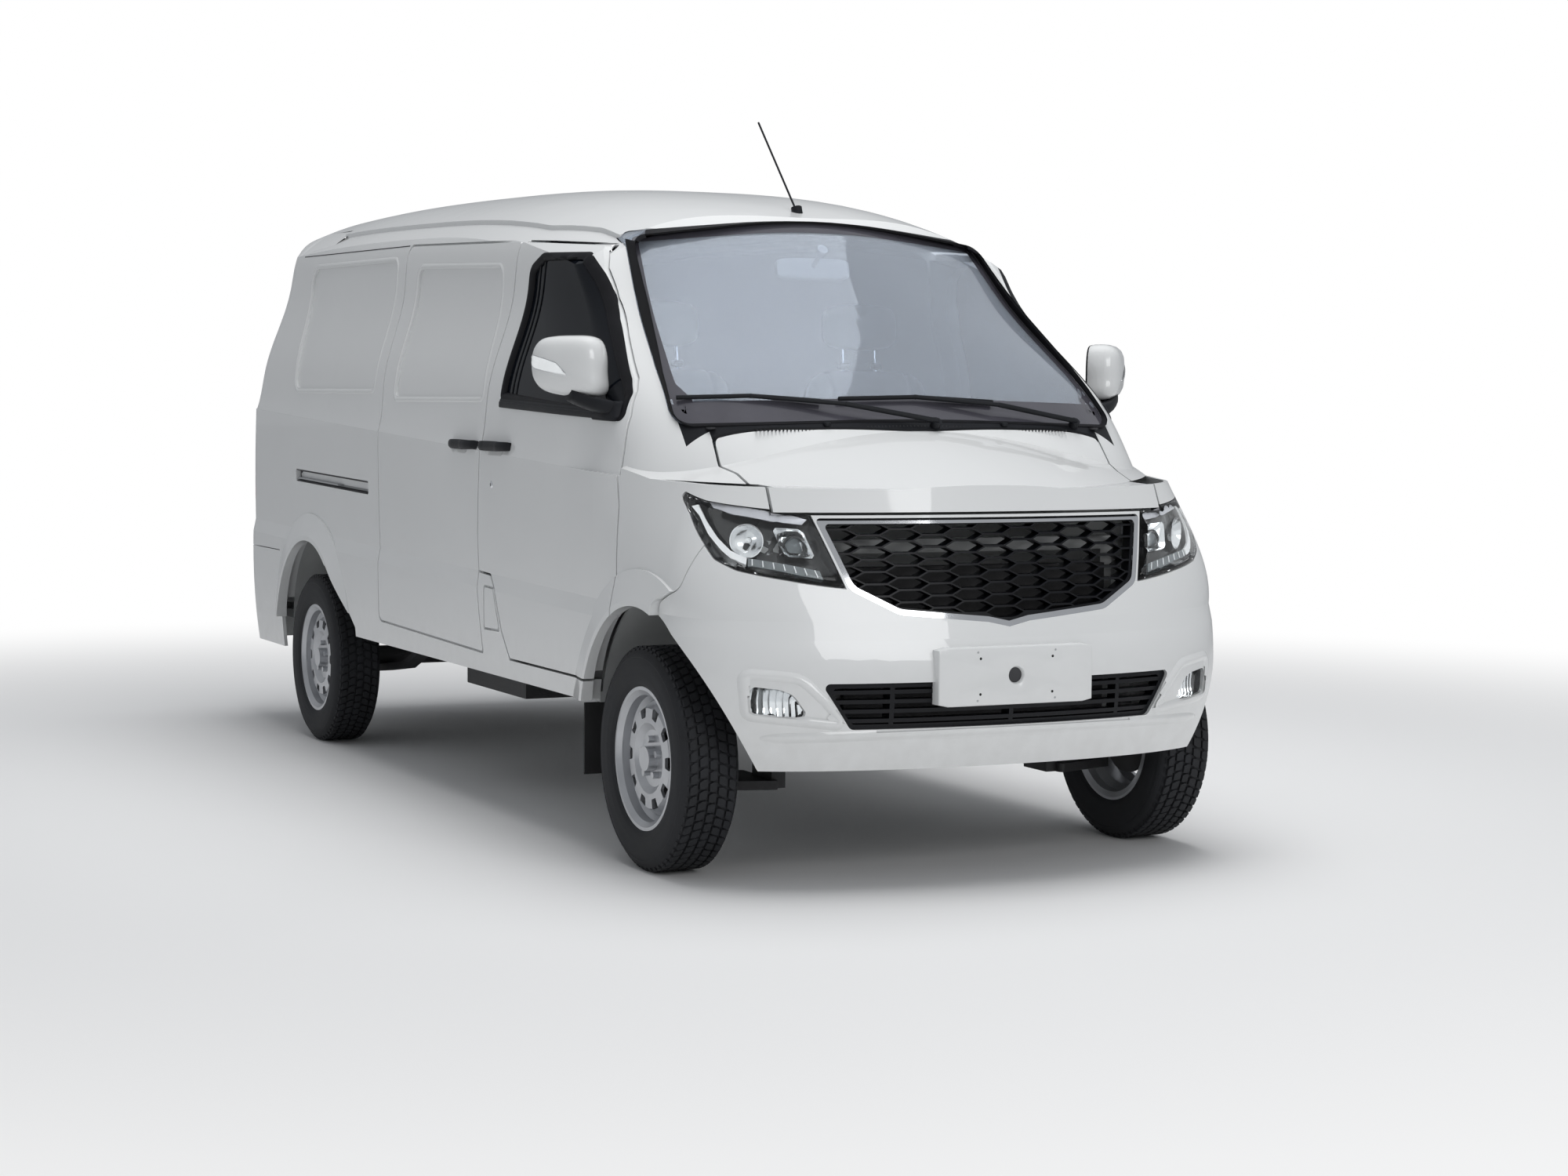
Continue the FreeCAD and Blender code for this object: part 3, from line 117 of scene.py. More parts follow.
ground = bpy.data.materials.new("studio_floor")
ground.use_nodes = True
tree = ground.node_tree
shader = tree.nodes["Principled BSDF"]
for socket, value in (("Base Color", (0.82, 0.82, 0.82, 1)), ("Roughness", 0.9), ("Specular IOR Level", 0.1)):
    shader.inputs[socket].default_value = value
floor_real_to, floor_white_from = 2.6, 6.5
spot, away = add(tree, "TexCoord"), add(tree, "VectorMath")
away.operation = "LENGTH"
fade = add(tree, "MapRange", From_Min=floor_real_to, From_Max=floor_white_from, To_Min=0.0, To_Max=1.0)
fade.interpolation_type = "SMOOTHSTEP"
far_white = add(tree, "Math")
far_white.operation = "MULTIPLY"
plain_white, blend = add(tree, "Emission", Color=(1, 1, 1, 1)), add(tree, "MixShader")
wire(tree, (spot.outputs["Object"], away.inputs[0]), (away.outputs["Value"], fade.inputs["Value"]),
    (fade.outputs["Result"], far_white.inputs[0]), (camera_or_glass(tree), far_white.inputs[1]),
    (far_white.outputs[0], blend.inputs[0]), (shader.outputs[0], blend.inputs[1]),
    (plain_white.outputs[0], blend.inputs[2]),
    (blend.outputs[0], tree.nodes["Material Output"].inputs["Surface"]))
floor_half = 70
floor_mesh = bpy.data.meshes.new("studio_floor")
floor_mesh.from_pydata([(floor_half * u, floor_half * v, 0)
    for u, v in ((-1, -1), (1, -1), (1, 1), (-1, 1))], [], [(0, 1, 2, 3)])
floor_mesh.materials.append(ground)
studio_floor = bpy.data.objects.new("studio_floor", floor_mesh)
bpy.context.scene.collection.objects.link(studio_floor)

# Body panels: pressed and welded steel sheet, sprayed white and lacquered.
# The lacquer has a faint orange peel, and the colour turns a warm grey in noisy patches towards the lowest
# part of the sides.


def finish(name, colour, rough, vary=0.06, patch=5.0, grain=0.0, depth=0.0, metal=0.0, sockets=()):
    """A material whose tone and gloss drift in patches, with an optional fine relief."""
    material = bpy.data.materials.new(name)
    material.use_nodes = True
    tree = material.node_tree
    shader = tree.nodes["Principled BSDF"]
    where = add(tree, "TexCoord").outputs["Object"]
    drift = add(tree, "TexNoise", Scale=patch, Detail=5)
    tones = add(tree, "ValToRGB")
    low, high = tones.color_ramp.elements
    low.position, high.position = 0.3, 0.7
    low.color = [c * (1 - vary) for c in colour] + [1]
    high.color = [min(1, c * (1 + vary)) for c in colour] + [1]
    gloss = add(tree, "MapRange", To_Min=rough * 0.85, To_Max=min(1, rough * 1.2))
    wire(tree, (where, drift.inputs["Vector"]), (drift.outputs["Fac"], tones.inputs["Fac"]),
        (tones.outputs["Color"], shader.inputs["Base Color"]), (drift.outputs["Fac"], gloss.inputs["Value"]),
        (gloss.outputs["Result"], shader.inputs["Roughness"]))
    if grain:
        fine, relief = add(tree, "TexNoise", Scale=grain, Detail=2), add(tree, "Bump", Distance=depth)
        wire(tree, (where, fine.inputs["Vector"]), (fine.outputs["Fac"], relief.inputs["Height"]),
            (relief.outputs["Normal"], shader.inputs["Normal"]))
    for socket, value in (("Metallic", metal), *dict(sockets).items()):
        shader.inputs[socket].default_value = value
    return material


def greyed_towards_foot(material, low, high, colour):
    """Mixes a material's colour towards another in noisy patches, more strongly towards its foot."""
    tree = material.node_tree
    shader = tree.nodes["Principled BSDF"]
    base_tone = shader.inputs["Base Color"].links[0].from_socket
    where, split = add(tree, "TexCoord").outputs["Object"], add(tree, "SeparateXYZ")
    fall = add(tree, "MapRange", From_Min=high, From_Max=low, To_Max=0.35)
    spots = add(tree, "TexNoise", Scale=22, Detail=8)
    share, over = add(tree, "Math"), add(tree, "MixRGB", Color2=(*colour, 1))
    share.operation = "MULTIPLY"
    wire(tree, (where, split.inputs[0]), (where, spots.inputs["Vector"]),
        (split.outputs["Z"], fall.inputs["Value"]), (fall.outputs["Result"], share.inputs[0]),
        (spots.outputs["Fac"], share.inputs[1]), (share.outputs[0], over.inputs["Fac"]),
        (base_tone, over.inputs["Color1"]), (over.outputs["Color"], shader.inputs["Base Color"]))


def dress(names, material):
    """Gives CAD nodes their finish."""
    for name in names.split():
        nodes[name].data.materials.clear()
        nodes[name].data.materials.append(material)


white_paint = finish("white_lacquer", (0.79, 0.80, 0.80), 0.32, 0.015, 1.5, 900, 0.00002,
    sockets={"Coat Weight": 1.0, "Coat Roughness": 0.03, "Specular IOR Level": 0.4})
greyed_towards_foot(white_paint, 0.35, 0.62, (0.45, 0.44, 0.42))
dress("front_door_right front_door_left sliding_door_right sliding_door_left body_side_right body_side_left "
      "fuel_flap fender_right fender_left hood roof_panel tailgate front_bumper rear_bumper", white_paint)

# Glass: a laminated windscreen and toughened door and tailgate panes, all lightly smoked, the door panes
# darker.
# The windscreen's pale blue-grey diffuse share is a painted reflection of the sky.
screen_glass = finish("screen_glass", (0.76, 0.83, 0.93), 0.02, 0.02, 3.0,
    sockets={"Transmission Weight": 0.80, "IOR": 1.45, "Coat Weight": 0.6, "Coat Roughness": 0.02})
side_glass = finish("side_glass", (0.010, 0.013, 0.020), 0.01, 0.02, 3.0,
    sockets={"Transmission Weight": 0.60, "IOR": 1.45, "Specular IOR Level": 0.0})
dress("windscreen", screen_glass)
dress("door_glass_right door_glass_left tailgate_glass", side_glass)

# Plain fittings that keep their CAD form: pressed, cast or moulded parts with their own finishes.
# Chassis parts are dipped in black paint, and the floor's underside in grey primer.
black_plastic = finish("grained_black_plastic", (0.013, 0.014, 0.017), 0.5, 0.2, 12, 1400, 0.00012,
    sockets={"Specular IOR Level": 0.25})
gloss_black = finish("gloss_black_plastic", (0.0040, 0.0045, 0.0065), 0.34, 0.15, 6, 700, 0.00002,
    sockets={"Specular IOR Level": 0.28})
bright_metal = finish("bright_chrome", (0.82, 0.83, 0.85), 0.07, 0.03, 9, metal=1.0)
chassis_black = finish("chassis_black", (0.035, 0.035, 0.037), 0.55, 0.35, 9, 260, 0.0004)
primer_grey = finish("primer_grey", (0.42, 0.43, 0.43), 0.5, 0.12, 5, 300, 0.0002)
wheel_silver = finish("wheel_silver", (0.52, 0.53, 0.55), 0.3, 0.06, 14, 900, 0.00004, 0.75,
    {"Coat Weight": 0.3, "Coat Roughness": 0.15})
cast_metal = finish("cast_alloy", (0.34, 0.34, 0.34), 0.5, 0.25, 14, 420, 0.0005, 0.8)
pipe_steel = finish("exhaust_steel", (0.36, 0.33, 0.30), 0.4, 0.3, 7, 300, 0.0002, 0.85)
flap_rubber = finish("flap_rubber", (0.018, 0.018, 0.019), 0.75, 0.25, 8, 500, 0.0003)
tyre_rubber = finish("tyre_rubber", (0.013, 0.014, 0.017), 0.72, 0.3, 11, 650, 0.00025)
dress("grille lower_grille", gloss_black)
dress("cowl_panel antenna wipers", black_plastic)
dress("grille_surround", bright_metal)
dress("floor_pan bulkhead seat_box wheel_housings", primer_grey)
dress("knuckle_right knuckle_left front_suspension front_struts rear_axle propshaft fuel_tank radiator",
    chassis_black)
dress("engine_block", cast_metal)
dress("exhaust", pipe_steel)
dress("mud_flaps", flap_rubber)
dress("spare_wheel", tyre_rubber)
dress("rim_front_right rim_front_left rim_rear_right rim_rear_left", wheel_silver)
dress("dashboard steering_wheel", black_plastic)

# Tyres: radial van tyres with a blocky road tread, moulded sidewall ribs and a rounded shoulder.
# Each is one carcass with its tread blocks standing on it, open at the bead where the rim holds it.


def lofted(rings, capped=True, looped=False):
    """Points and faces of a skin stretched over rings that have equal counts."""
    count = len(rings[0])
    points = [tuple(p) for ring in rings for p in ring]
    faces = []
    for i in range(len(rings) if looped else len(rings) - 1):
        a, b = i * count, (i + 1) % len(rings) * count
        for k in range(count):
            n = (k + 1) % count
            faces.append((a + k, a + n, b + n, b + k))
    if capped and not looped:
        faces.append(tuple(range(count - 1, -1, -1)))
        faces.append(tuple(range((len(rings) - 1) * count, len(rings) * count)))
    return points, faces


def sheet(lines, looped=False):
    """Points and faces of an open skin between lines that have equal counts."""
    count, faces = len(lines[0]), []
    for i in range(len(lines) if looped else len(lines) - 1):
        a, b = i * count, (i + 1) % len(lines) * count
        faces += [(a + k, a + k + 1, b + k + 1, b + k) for k in range(count - 1)]
    return [tuple(p) for line in lines for p in line], faces


def joined(*parts):
    """Several sets of points and faces as one."""
    points, faces = [], []
    for some_points, some_faces in parts:
        shift = len(points)
        points += [tuple(p) for p in some_points]
        faces += [tuple(i + shift for i in face) for face in some_faces]
    return points, faces


def made(name, shape, material, body, sharp=38, thick=0.0):
    """A piece from points and faces, with true creases kept, riding on a body."""
    mesh = bpy.data.meshes.new(name)
    mesh.from_pydata([tuple(p) for p in shape[0]], [], shape[1])
    work = bmesh.new()
    work.from_mesh(mesh)
    bmesh.ops.remove_doubles(work, verts=work.verts, dist=1e-6)
    bmesh.ops.recalc_face_normals(work, faces=work.faces)
    for face in work.faces:
        face.smooth = True
    for edge in work.edges:
        if len(edge.link_faces) == 2 and edge.calc_face_angle() > math.radians(sharp):
            edge.smooth = False
    work.to_mesh(mesh)
    work.free()
    mesh.materials.append(material)
    piece = bpy.data.objects.new(name, mesh)
    bpy.context.scene.collection.objects.link(piece)
    if thick:
        piece.modifiers.new("sheet", "SOLIDIFY").thickness = thick
    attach(piece, body)
    return piece


def across(shape):
    """The same shape on the van's other side."""
    return [(x, -y, z) for x, y, z in shape[0]], shape[1]


def both_sides(name, shape, material, right_body="body", left_body=None, **how):
    """A piece on the right and its mirror image on the left."""
    right = made(name + "_right", shape, material, right_body, **how)
    left = made(name + "_left", across(shape), material, left_body or right_body, **how)
    return right, left


def turned(profile, steps, centre=(0, 0, 0)):
    """A (radius, y) line turned about the van's crosswise axis through a centre."""
    rings = []
    for i in range(steps):
        a = 2 * math.pi * i / steps
        rings.append([(centre[0] + r * math.cos(a), centre[1] + y, centre[2] + r * math.sin(a))
            for r, y in profile])
    return lofted(rings, looped=True)


axle_height, track_half, front_axle_x, rear_axle_x = 0.293, 0.712, 1.615, -1.315
tread_floor, tread_top, pitches = 0.2855, 0.2925, 64
tyre_line = [(0.187, -0.062), (0.188, -0.071), (0.196, -0.0755), (0.200, -0.0775), (0.203, -0.0775),
    (0.216, -0.0812), (0.219, -0.0808), (0.238, -0.0822), (0.252, -0.0812), (0.262, -0.0785),
    (0.264, -0.0792), (0.272, -0.0762), (0.281, -0.0690), (tread_floor, -0.060), (tread_floor, -0.030),
    (tread_floor, 0.0)]
tyre_line += [(r, -y) for r, y in reversed(tyre_line[:-1])] + [(0.176, 0.058), (0.174, 0.0), (0.176, -0.058)]
tread_rows = ((-0.0625, -0.0430, 0.0, 0.80), (-0.0385, -0.0150, 0.5, 0.78), (-0.0105, 0.0105, 0.2, 0.80),
    (0.0150, 0.0385, 0.7, 0.78), (0.0430, 0.0625, 0.35, 0.80))


def tread_block(centre, y0, y1, start, width, lean):
    """One block: a hexagon in plan with slightly drafted walls."""
    cx, cy, cz = centre
    rings = []
    for radius, inset in ((tread_floor - 0.002, 0.0), (tread_top - 0.0008, 0.0006), (tread_top, 0.0013)):
        ring = []
        for u, v in ((0, 0.0), (0.5, -0.16), (1, 0.0), (1, 1.0), (0.5, 1.16), (0, 1.0)):
            y = y0 + inset + (y1 - y0 - 2 * inset) * u
            a = start + width * (0.08 + 0.84 * v) + lean * (u - 0.5)
            ring.append((cx + radius * math.cos(a), cy + y, cz + radius * math.sin(a)))
        rings.append(ring)
    return lofted(rings)


def tyre(name, x, side, body, node):
    """A carcass with its tread blocks and shoulder lugs, in place of the CAD tyre."""
    centre = (x, side * track_half, axle_height)
    carcass = turned(tyre_line, 96, centre)
    blocks = []
    step = 2 * math.pi / pitches
    for y0, y1, shift, share in tread_rows:
        for i in range(pitches):
            lean = step * (0.25 if y0 < -0.012 else -0.25 if y0 > 0.012 else 0.1)
            blocks.append(tread_block(centre, y0, y1, step * (i + shift), step * share, lean))
    shoulder = []
    for i in range(pitches):
        for edge in (-1, 1):
            a0, a1 = step * (i + 0.15), step * (i + 0.75)
            rings = []
            for r, y in ((0.2875, 0.0655), (0.2815, 0.0675), (0.2740, 0.0748)):
                rings.append([(centre[0] + (r + d) * math.cos(a), centre[1] + edge * (y + e),
                    centre[2] + (r + d) * math.sin(a)) for a, d, e in ((a0, 0.0, 0.0), (a1, 0.0, 0.0),
                    (a1, -0.004, 0.0025), (a0, -0.004, 0.0025))])
            shoulder.append(lofted(rings))
    piece = made(name, joined(carcass, *blocks, *shoulder), tyre_rubber, body, sharp=32)
    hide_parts(node)


wheel_places = (("front_right", front_axle_x, -1), ("front_left", front_axle_x, 1),
    ("rear_right", rear_axle_x, -1), ("rear_left", rear_axle_x, 1))
for place, x, side in wheel_places:
    tyre("treaded_tyre_" + place, x, side, "wheel_" + place, "tyre_" + place)

# Side windows: black rubber channel round each door pane, a black strip along its foot and two thin
# felt runners behind the rear edge. The rubber is one moulded loop pushed over the window's flange.


def surface_of(names, keep=None):
    """A tree for finding points on CAD nodes at rest."""
    points, faces = [], []
    for name in names.split():
        shift = len(points)
        mesh = nodes[name].data
        points += [v.co.copy() for v in mesh.vertices]
        faces += [tuple(i + shift for i in p.vertices) for p in mesh.polygons if keep is None or keep(p)]
    return BVHTree.FromPolygons(points, faces)


def faces_right(polygon):
    """Whether a face looks out on the right side."""
    return polygon.normal.y < -0.3


right_skin = surface_of("front_door_right sliding_door_right body_side_right fender_right fuel_flap",
    faces_right)
right_panes = surface_of("door_glass_right", faces_right)
pane_depth = 0.010


def flank(x, z, lift=0.0):
    """The point on the right side at x and z, raised off it by the lift."""
    y = -0.8
    for _ in range(4):
        here = Vector((x, y, z))
        skin, pane = right_skin.find_nearest(here), right_panes.find_nearest(here)
        at, normal, inset = skin[0], skin[1], 0.0
        if pane[3] < skin[3]:
            at, normal, inset = pane[0], pane[1], pane_depth
        y = at.y - ((x - at.x) * normal.x + (z - at.z) * normal.z) / normal.y - inset
    return Vector((x, y - lift, z))


def rounded(corners, step=0.02):
    """Points along a closed polygon whose (u, v, radius) corners are arcs."""
    line = []
    count = len(corners)
    for i, corner in enumerate(corners):
        here = Vector(corner[:2])
        back, forth = Vector(corners[i - 1][:2]) - here, Vector(corners[(i + 1) % count][:2]) - here
        radius = corner[2] if len(corner) > 2 else 0.0
        angle = back.angle(forth)
        if radius < 1e-4 or abs(math.pi - angle) < 0.02:
            line.append(here)
            continue
        reach = min(radius / math.tan(angle / 2), 0.45 * back.length, 0.45 * forth.length)
        radius = reach * math.tan(angle / 2)
        centre = here + (back.normalized() + forth.normalized()).normalized() * (radius / math.sin(angle / 2))
        start, end = here + back.normalized() * reach - centre, here + forth.normalized() * reach - centre
        turns = max(2, int((math.pi - angle) / 0.3) + 1, int(reach / 0.03))
        for k in range(turns + 1):
            arm = start.lerp(end, k / turns).normalized() * radius
            line.append(centre + arm)
    dense = []
    for i, here in enumerate(line):
        after = line[(i + 1) % len(line)]
        pieces = max(1, int((after - here).length / step))
        dense += [here.lerp(after, k / pieces) for k in range(pieces)]
    return dense


def outward(line):
    """Unit normals that point out of a closed flat line."""
    area = sum(a.x * b.y - b.x * a.y for a, b in zip(line, line[1:] + line[:1]))
    turn = 1 if area > 0 else -1
    normals = []
    for i, here in enumerate(line):
        along = (line[(i + 1) % len(line)] - line[i - 1]).normalized()
        normals.append(Vector((along.y, -along.x)) * turn)
    return normals


def band_round(line, profile, place):
    """A moulding whose (outward, lift) profile follows a closed flat line on a surface."""
    rings = []
    for here, out_of in zip(line, outward(line)):
        rings.append([place(here.x + out_of.x * o, here.y + out_of.y * o, lift) for o, lift in profile])
    return lofted(rings, looped=True)


seal_rubber = finish("seal_rubber", (0.010, 0.010, 0.012), 0.55, 0.2, 20, 900, 0.0001,
    sockets={"Specular IOR Level": 0.2})
window_line = [(0.580, 1.217, 0.012), (0.617, 1.590, 0.040), (0.700, 1.627, 0.040), (0.930, 1.622, 0.050),
    (1.008, 1.558, 0.060), (1.150, 1.431), (1.235, 1.364), (1.356, 1.268), (1.392, 1.232, 0.02),
    (1.414, 1.166, 0.012)]
window_edge = rounded(window_line)
front_doors = ("front_door_right", "front_door_left")
both_sides("window_seal", band_round(window_edge, ((0.006, 0.0002), (0.005, 0.0022), (0.0, 0.0028),
    (-0.010, 0.0008), (-0.016, -0.004), (-0.017, -0.0095), (-0.004, -0.0095)), flank), seal_rubber,
    *front_doors, sharp=50)


def strip(ends, width, profile, place, steps=24):
    """A straight moulding on a surface between two (u, v) ends, with closed ends."""
    start, end = Vector(ends[0]), Vector(ends[1])
    along = (end - start).normalized()
    side = Vector((-along.y, along.x))
    rings = []
    for k in range(steps + 1):
        here = start.lerp(end, k / steps)
        rings.append([place(here.x + side.x * width * s, here.y + side.y * width * s, lift)
            for s, lift in profile])
    return lofted(rings)


belt_profile = ((-0.5, -0.001), (-0.5, 0.004), (-0.38, 0.006), (0.1, 0.0065), (0.2, 0.004), (0.28, 0.0045),
    (0.5, 0.002), (0.5, -0.004))
both_sides("belt_strip", strip(((0.578, 1.203), (1.345, 1.178)), 0.026, belt_profile, flank), black_plastic,
    *front_doors)
for k, x in enumerate((0.640, 0.672)):
    run = [Vector((x + 0.03 * j / 12, 1.222 + 0.385 * j / 12)) for j in range(13)]
    rings = [[flank(p.x - 0.004, p.y, -0.0093), flank(p.x + 0.004, p.y, -0.0093),
        flank(p.x + 0.004, p.y, -0.0075), flank(p.x - 0.004, p.y, -0.0075)] for p in run]
    both_sides("glass_run_%d" % k, lofted(rings), black_plastic, *front_doors)

# Windscreen: bonded glass with a black baked border, a thin black rubber lip round it, the inside
# mirror on its stalk, and the washer jets and ribbed air grille of the cowl at its foot.
screen_skin = surface_of("windscreen", keep=lambda p: p.normal.x > 0.3 and p.normal.z > 0.2)
screen_corners = [(-0.674, 1.150, 0.04), (-0.647, 1.301), (-0.597, 1.495), (-0.556, 1.688, 0.045),
    (0, 1.742, 2.6), (0.556, 1.688, 0.045), (0.597, 1.495), (0.647, 1.301), (0.674, 1.150, 0.04),
    (0, 1.168, 9.0)]


def on_screen(y, z, lift=0.0):
    """A point on the windscreen found along the driving direction."""
    spot, normal = screen_skin.ray_cast(Vector((3, y, z)), Vector((-1, 0, 0)))[:2]
    if spot is None:
        spot, normal = screen_skin.find_nearest(Vector((1.69 - (z - 1.14) * 1.12 - abs(y) ** 3 * 0.25, y,
            z)))[:2]
        spot = spot.lerp(Vector((spot.x, y, z)), 0.6)
    if normal.x < 0:
        normal = -normal
    return spot + normal * lift


screen_edge = rounded(screen_corners, 0.03)
# The border is black frit. Its colour is lightened to a violet grey as a painted reflection of the sky on the
# glass.
frit_and_painted_sky = finish("baked_black_border", (0.075, 0.073, 0.088), 0.14, 0.1, 9, sockets={"Coat Weight": 0.8})
border = []
for here, out_of in zip(screen_edge, outward(screen_edge)):
    wide = 0.034 if here.y > 1.25 else 0.062
    border.append([on_screen(here.x - out_of.x * o, here.y - out_of.y * o, 0.0006)
        for o in (0.004, wide * 0.5, wide)])
made("screen_border", sheet(border, looped=True), frit_and_painted_sky, "body")
made("screen_seal", band_round(screen_edge, ((-0.006, 0.0008), (-0.003, 0.003), (0.003, 0.0035),
    (0.006, 0.001), (0.004, -0.004)), on_screen), seal_rubber, "body", sharp=60)


def tube(path, radius, sides=10, ends=True):
    """A round bar along a list of points."""
    rings = []
    side = None
    for i, here in enumerate(path):
        here = Vector(here)
        before, after = Vector(path[max(0, i - 1)]), Vector(path[min(len(path) - 1, i + 1)])
        along = (after - before).normalized()
        if side is None:
            side = along.orthogonal().normalized()
        side = (side - along * side.dot(along)).normalized()
        other = along.cross(side)
        r = radius[i] if isinstance(radius, (list, tuple)) else radius
        rings.append([here + side * (r * math.cos(2 * math.pi * k / sides))
                      + other * (r * math.sin(2 * math.pi * k / sides)) for k in range(sides)])
    return lofted(rings, capped=ends)


def bent(value, power):
    """A value raised to a power with its sign kept, for squarish rounds."""
    return math.copysign(abs(value) ** power, value)


def pillow(size, power=4.0, across_steps=24, up_steps=12):
    """A rounded block: a superellipsoid of full size (x, y, z) about the origin."""
    rings = []
    for i in range(up_steps + 1):
        v = -math.pi / 2 + math.pi * min(max(i / up_steps, 0.004), 0.996)
        flat, rise = bent(math.cos(v), 2 / power), bent(math.sin(v), 2 / power)
        rings.append([(size[0] / 2 * flat * bent(math.cos(u), 2 / power),
            size[1] / 2 * flat * bent(math.sin(u), 2 / power), size[2] / 2 * rise)
            for u in (2 * math.pi * k / across_steps for k in range(across_steps))])
    return lofted(rings)


def moved(shape, place, turn_y=0.0, turn_z=0.0, turn_x=0.0):
    """A shape turned about x, then y, then z, and put in its place."""
    turning = (Matrix.Translation(place) @ Matrix.Rotation(math.radians(turn_z), 4,
        "Z") @ Matrix.Rotation(math.radians(turn_y), 4, "Y") @ Matrix.Rotation(math.radians(turn_x), 4, "X"))
    return [turning @ Vector(p) for p in shape[0]], shape[1]


pale_plastic = finish("pale_grey_plastic", (0.50, 0.50, 0.49), 0.5, 0.06, 10, 1200, 0.0001)
mirror_silver = finish("mirror_silver", (0.86, 0.87, 0.88), 0.02, 0.02, 4, metal=1.0)
stalk_root = on_screen(0.0, 1.655, -0.012)
mirror_spot = stalk_root + Vector((-0.065, 0.0, -0.055))
made("inside_mirror_shell", moved(pillow((0.028, 0.235, 0.062), 5), mirror_spot, turn_y=-12), pale_plastic,
    "body")
made("inside_mirror_glass", moved(pillow((0.004, 0.215, 0.046), 6),
    mirror_spot + Vector((-0.0135, 0, 0.003)), turn_y=-12), mirror_silver, "body")
made("inside_mirror_stalk", tube([stalk_root, stalk_root.lerp(mirror_spot, 0.4), mirror_spot],
    [0.016, 0.007, 0.008]), pale_plastic, "body")

cowl_skin = surface_of("cowl_panel", keep=lambda p: p.normal.z > 0.2)


def on_cowl(x, y, lift=0.0):
    """A point on the cowl found from above."""
    spot, normal = cowl_skin.ray_cast(Vector((x, y, 2)), Vector((0, 0, -1)))[:2]
    if spot is None:
        return Vector((x, y, 1.14 + lift))
    return spot + normal * lift


dark_plastic = finish("dark_grey_plastic", (0.040, 0.040, 0.044), 0.6, 0.2, 14, 1300, 0.00015)
rib_count, rib_reach, bracket_y = 88, 0.47, 0.17
ribs = []
for k in range(rib_count):
    y = -rib_reach + 2 * rib_reach * k / (rib_count - 1)
    if abs(abs(y) - bracket_y) < 0.02:
        continue
    feet = [on_cowl(x, y + lean, -0.0005) for x, lean in ((1.585, 0.012), (1.650, -0.006))]
    ribs.append(lofted([[spot + Vector((0, a, b)) for a, b in ((-0.0018, 0), (0.0018, 0), (0.0012, 0.0035),
        (-0.0012, 0.0035))] for spot in feet]))
made("cowl_ribs", joined(*ribs), dark_plastic, "body")

jets = []
for y in (-0.27, 0.27):
    spot = on_cowl(1.640, y)
    jets.append(moved(pillow((0.022, 0.020, 0.014), 3, 14, 8), spot + Vector((0, 0, 0.003))))
    jets.append(tube([spot + Vector((-0.010, 0, 0.006)), spot + Vector((-0.014, 0, 0.009))], 0.0035, 8))
made("washer_jets", joined(*jets), black_plastic, "body")
tip = 0.0001  # the radius that a turned line starts from at its axis
caps = []
for y in (-0.585, 0.585):
    spot = on_cowl(1.595, y)
    caps.append(moved(turned([(tip, 0), (0.011, 0), (0.013, -0.002), (0.013, -0.006), (tip, -0.006)], 20),
        spot + Vector((0, 0, 0.003)), turn_x=-90))
made("cowl_screw_caps", joined(*caps), dark_plastic, "body")

# Headlamps: a black moulded bowl behind a clear lens, with a white light guide along the outer and
# lower edge, a grey ribbed strip beside it, a round projector in a square frame and a small reflector.
clear_lens = finish("clear_lens", (0.93, 0.95, 0.96), 0.01, 0.01, 3,
    sockets={"Transmission Weight": 1.0, "IOR": 1.3})
lamp_black = finish("lamp_bowl_black", (0.016, 0.017, 0.019), 0.25, 0.2, 14, 900, 0.00005,
    sockets={"Coat Weight": 0.3})
lamp_silver = finish("lamp_reflector", (0.80, 0.81, 0.82), 0.12, 0.06, 30, metal=1.0)
guide_white = finish("light_guide_white", (0.86, 0.87, 0.88), 0.22, 0.02, 20,
    sockets={"Coat Weight": 0.6, "Emission Color": (1, 1, 1, 1), "Emission Strength": 0.12})
guide_grey = finish("light_guide_grey", (0.17, 0.19, 0.20), 0.25, 0.1, 30, sockets={"Coat Weight": 0.5})
brow_silver = finish("lamp_brow_silver", (0.62, 0.62, 0.66), 0.25, 0.05, 12, metal=0.4)
lens_out = Vector((0.75, -0.62, 0.2)).normalized()


def right_part(node, towards, least, front):
    """The faces of a node's right half that look towards a direction, or all the others."""
    mesh, used, faces = nodes[node].data, {}, []
    for p in mesh.polygons:
        if p.center.y > 0 or (p.normal.dot(towards) > least) != front:
            continue
        faces.append(tuple(used.setdefault(i, len(used)) for i in p.vertices))
    return [mesh.vertices[i].co.copy() for i in used], faces


lens_shape = right_part("headlamps", lens_out, 0.42, True)
lens_pair = both_sides("headlamp_lens", lens_shape, clear_lens, thick=0.0025)
bowl_pair = both_sides("headlamp_bowl", right_part("headlamps", lens_out, 0.42, False), lamp_black, sharp=30)
for lens_piece, bowl in zip(lens_pair, bowl_pair):
    lens_piece.modifiers["sheet"].offset = -1
    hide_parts("headlamps")
lens_face = BVHTree.FromPolygons(*lens_shape)


def behind(points, depth):
    """Points set back by a depth behind the lamp's lens."""
    found = []
    for p in points:
        spot, normal = lens_face.find_nearest(Vector(p))[:2]
        if normal.dot(lens_out) < 0:
            normal = -normal
        found.append(Vector(p) + normal * ((spot - Vector(p)).dot(normal) - depth))
    return found


def spread(points, count):
    """A list of points evenly respaced along its length."""
    points = [Vector(p) for p in points]
    lengths = [0.0]
    for a, b in zip(points, points[1:]):
        lengths.append(lengths[-1] + (b - a).length)
    found, k = [], 0
    for i in range(count):
        want = lengths[-1] * i / (count - 1)
        while k < len(points) - 2 and lengths[k + 1] < want:
            k += 1
        found.append(points[k].lerp(points[k + 1],
            (want - lengths[k]) / max(1e-9, lengths[k + 1] - lengths[k])))
    return found


